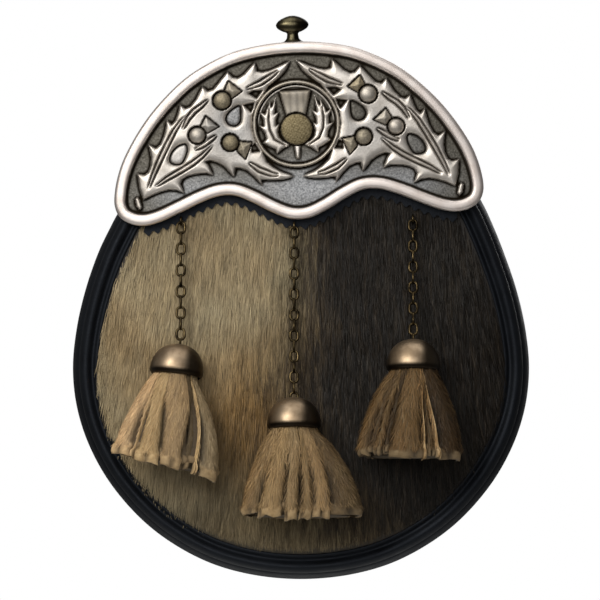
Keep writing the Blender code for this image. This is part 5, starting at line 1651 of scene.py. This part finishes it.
def tassel(name, spot):
    """Strips of hide in two layers round a core, and a coat of short hair on the outer ones."""
    chance = np.random.default_rng(SEED + len(name))
    sizes = TASSELS[name][2:]
    length = sizes[2]
    typical = float(np.mean([row[6] for row in STRIP_ROWS[name]]))
    rows = []
    for a, b, c, d, *rest in STRIP_ROWS[name]:
        rows.append((*(math.asin(s) for s in (a, b, c, d)), *rest))
    step = math.pi / BACK_STRIPS
    for k in range(BACK_STRIPS):
        start = math.pi / 2 + k * step
        rows.append((start, start + step, start, start + step, 0.25, 0.5, typical, 0.0, -3.4, 0))
    parts, marks, beds = [], [], []
    start = 0
    for row in rows:
        ragged = chance.uniform(-1.0, 1.0, ACROSS_STRIP)
        points, faces, more, bed = strip_mesh(spot, sizes, row, ragged)
        parts.append((points, faces))
        marks += more
        beds += [tuple(i + start for i in f) for f in bed]
        start += len(points)
    for k in range(INNER_STRIPS):
        a = 2 * math.pi * k / INNER_STRIPS
        b = a + 2 * math.pi / INNER_STRIPS
        # painted shade: the inner layer, seen through the slits, is painted far darker
        shade = typical * chance.uniform(0.08, 0.26)
        row = (a, b, a, b, 0.2, chance.uniform(0.6, 1.0), shade, 0.0, chance.uniform(-5.5, -3.5), 0)
        ragged = chance.uniform(-1.0, 1.0, ACROSS_STRIP)
        points, faces, more, _ = strip_mesh(spot, sizes, row, ragged, INNER_DOWN, INNER_DEEP)
        parts.append((points, faces))
        marks += more
    # core that the strips are tied round, painted dark as the shade inside the tassel
    turns = 2 * math.pi * np.arange(CORE_SIDES) / CORE_SIDES
    shares = np.linspace(-0.1, 0.93, 10)
    core = [tassel_point(spot, sizes, turns, np.full(CORE_SIDES, share), -CORE_DEEP) for share in shares]
    parts.append((np.concatenate(core), stack_faces(len(core), CORE_SIDES)))
    marks += [(0.5, 0.12, 0.0, 0.5)] * (CORE_SIDES * len(core))
    points, faces = joined(parts)
    points, marks = np.array(points), np.array(marks, float)
    # nothing sinks into the hide behind
    points[:, 1] = np.minimum(points[:, 1], panel_face(points[:, [0, 2]]) - 0.4)
    looks = {key: marks[:, k] for k, key in enumerate(("tone", "shade", "cut"))}
    strips = make_piece("tassel_strips_" + name, points, faces, cut_hide, looks, sharp=60)
    give(strips, "tan_hide", "tassel_" + name)
    # hair side
    used = np.unique(np.array(beds))
    number = np.full(len(points), -1)
    number[used] = np.arange(len(used))
    bed, roots = number[np.array(beds)], points[used]
    tone, bright, cut, share = marks[used].T
    splay = (roots - spot["mouth"]) @ spot["across"]
    out = roots[bed].mean(axis=1) - spot["mouth"]
    out -= (out @ spot["plumb"])[:, None] * spot["plumb"]
    fur, lift, sway, warm = FUR[name]
    numbers = {
        "flow": spot["plumb"] + np.outer(splay / length * 0.55, spot["across"]),
        "tone": tone, "bright": bright, "warm": np.full(len(used), warm),
        # cut edges and curled feet are bare
        "cover": (share < FOOT_FROM) * (cut < 0.5).astype(float),
        "reach": np.clip((0.94 - share) * length / fur, 0.3, 1.0),
        "lie": np.stack([splay, roots[:, 1], share * length], axis=1) * MM,
    }
    bed = turned_out(bed, roots, out)
    sizes = (FUR_DENSITY, fur, FUR_WIDE, lift, sway, FUR_LOCK)
    give(hair("tassel_hair_" + name, roots, bed, numbers, tassel_hair, SEED + 20, *sizes), "tan_hide")


for name, x, staple_z, count, pitch, on_strip in CHAINS:
    spot = hang(name, x, staple_z, count, pitch, on_strip)
    give(staple(name, x, staple_z, spot), "dark_brass", "chain_staple_" + name)
    links = [f"link_{name}_{i + 1:02d}" for i in range(count)]
    give(chain(name, count, pitch, spot), "dark_brass", *links)
    give(cap(name, count, spot), "aged_bronze", "bell_cap_" + name)
    tassel(name, spot)


# ---------------------------------------------------------------- stage, light and camera


for name, place, wide, high, power, colour in LIGHTS:
    lamp = bpy.data.lights.new(name, "AREA")
    lamp.shape = "RECTANGLE"
    lamp.size, lamp.size_y = wide, high
    lamp.energy = power
    lamp.color = rgb(colour)[:3]
    item = shown(name, lamp)
    item.location = place
    item.rotation_euler = (Vector(LIT_AT) - Vector(place)).to_track_quat("-Z", "Y").to_euler()
    item.visible_camera = False

world = bpy.data.worlds.new("studio")
world.use_nodes = True
bpy.context.scene.world = world
sky = world.node_tree
seen = sky.nodes["Background"]
seen.inputs["Color"].default_value = (1, 1, 1, 1)
room = add(sky, "ShaderNodeBackground", {"Color": (1, 1, 1, 1), "Strength": ROOM_LIGHT})
ray = add(sky, "ShaderNodeLightPath")
both = add(sky, "ShaderNodeMixShader", {0: ray.outputs["Is Camera Ray"], 1: room, 2: seen})
sky.links.new(both.outputs[0], sky.nodes["World Output"].inputs["Surface"])

floor_mesh = bpy.data.meshes.new("floor")
turns = np.linspace(0, 2 * math.pi, FLOOR_SIDES, endpoint=False)
floor_ring = [(FLOOR_RADIUS * math.cos(t), FLOOR_RADIUS * math.sin(t), FLOOR_HEIGHT) for t in turns]
floor_mesh.from_pydata(floor_ring, [], [tuple(range(FLOOR_SIDES))])
floor_mesh.materials.append(paper)
shown("floor", floor_mesh)

camera = shown("camera", bpy.data.cameras.new("camera"))
camera.data.lens = LENS
camera.data.sensor_width = SENSOR
far_back = FRAME_WIDE * LENS / SENSOR
camera.location = placed([(FRAME_X, FRAME_Y - far_back, FRAME_Z + ORIGIN_Z)])[0]
camera.rotation_euler = (math.pi / 2, 0, 0)
bpy.context.scene.camera = camera
bpy.context.scene.view_settings.view_transform = "Standard"
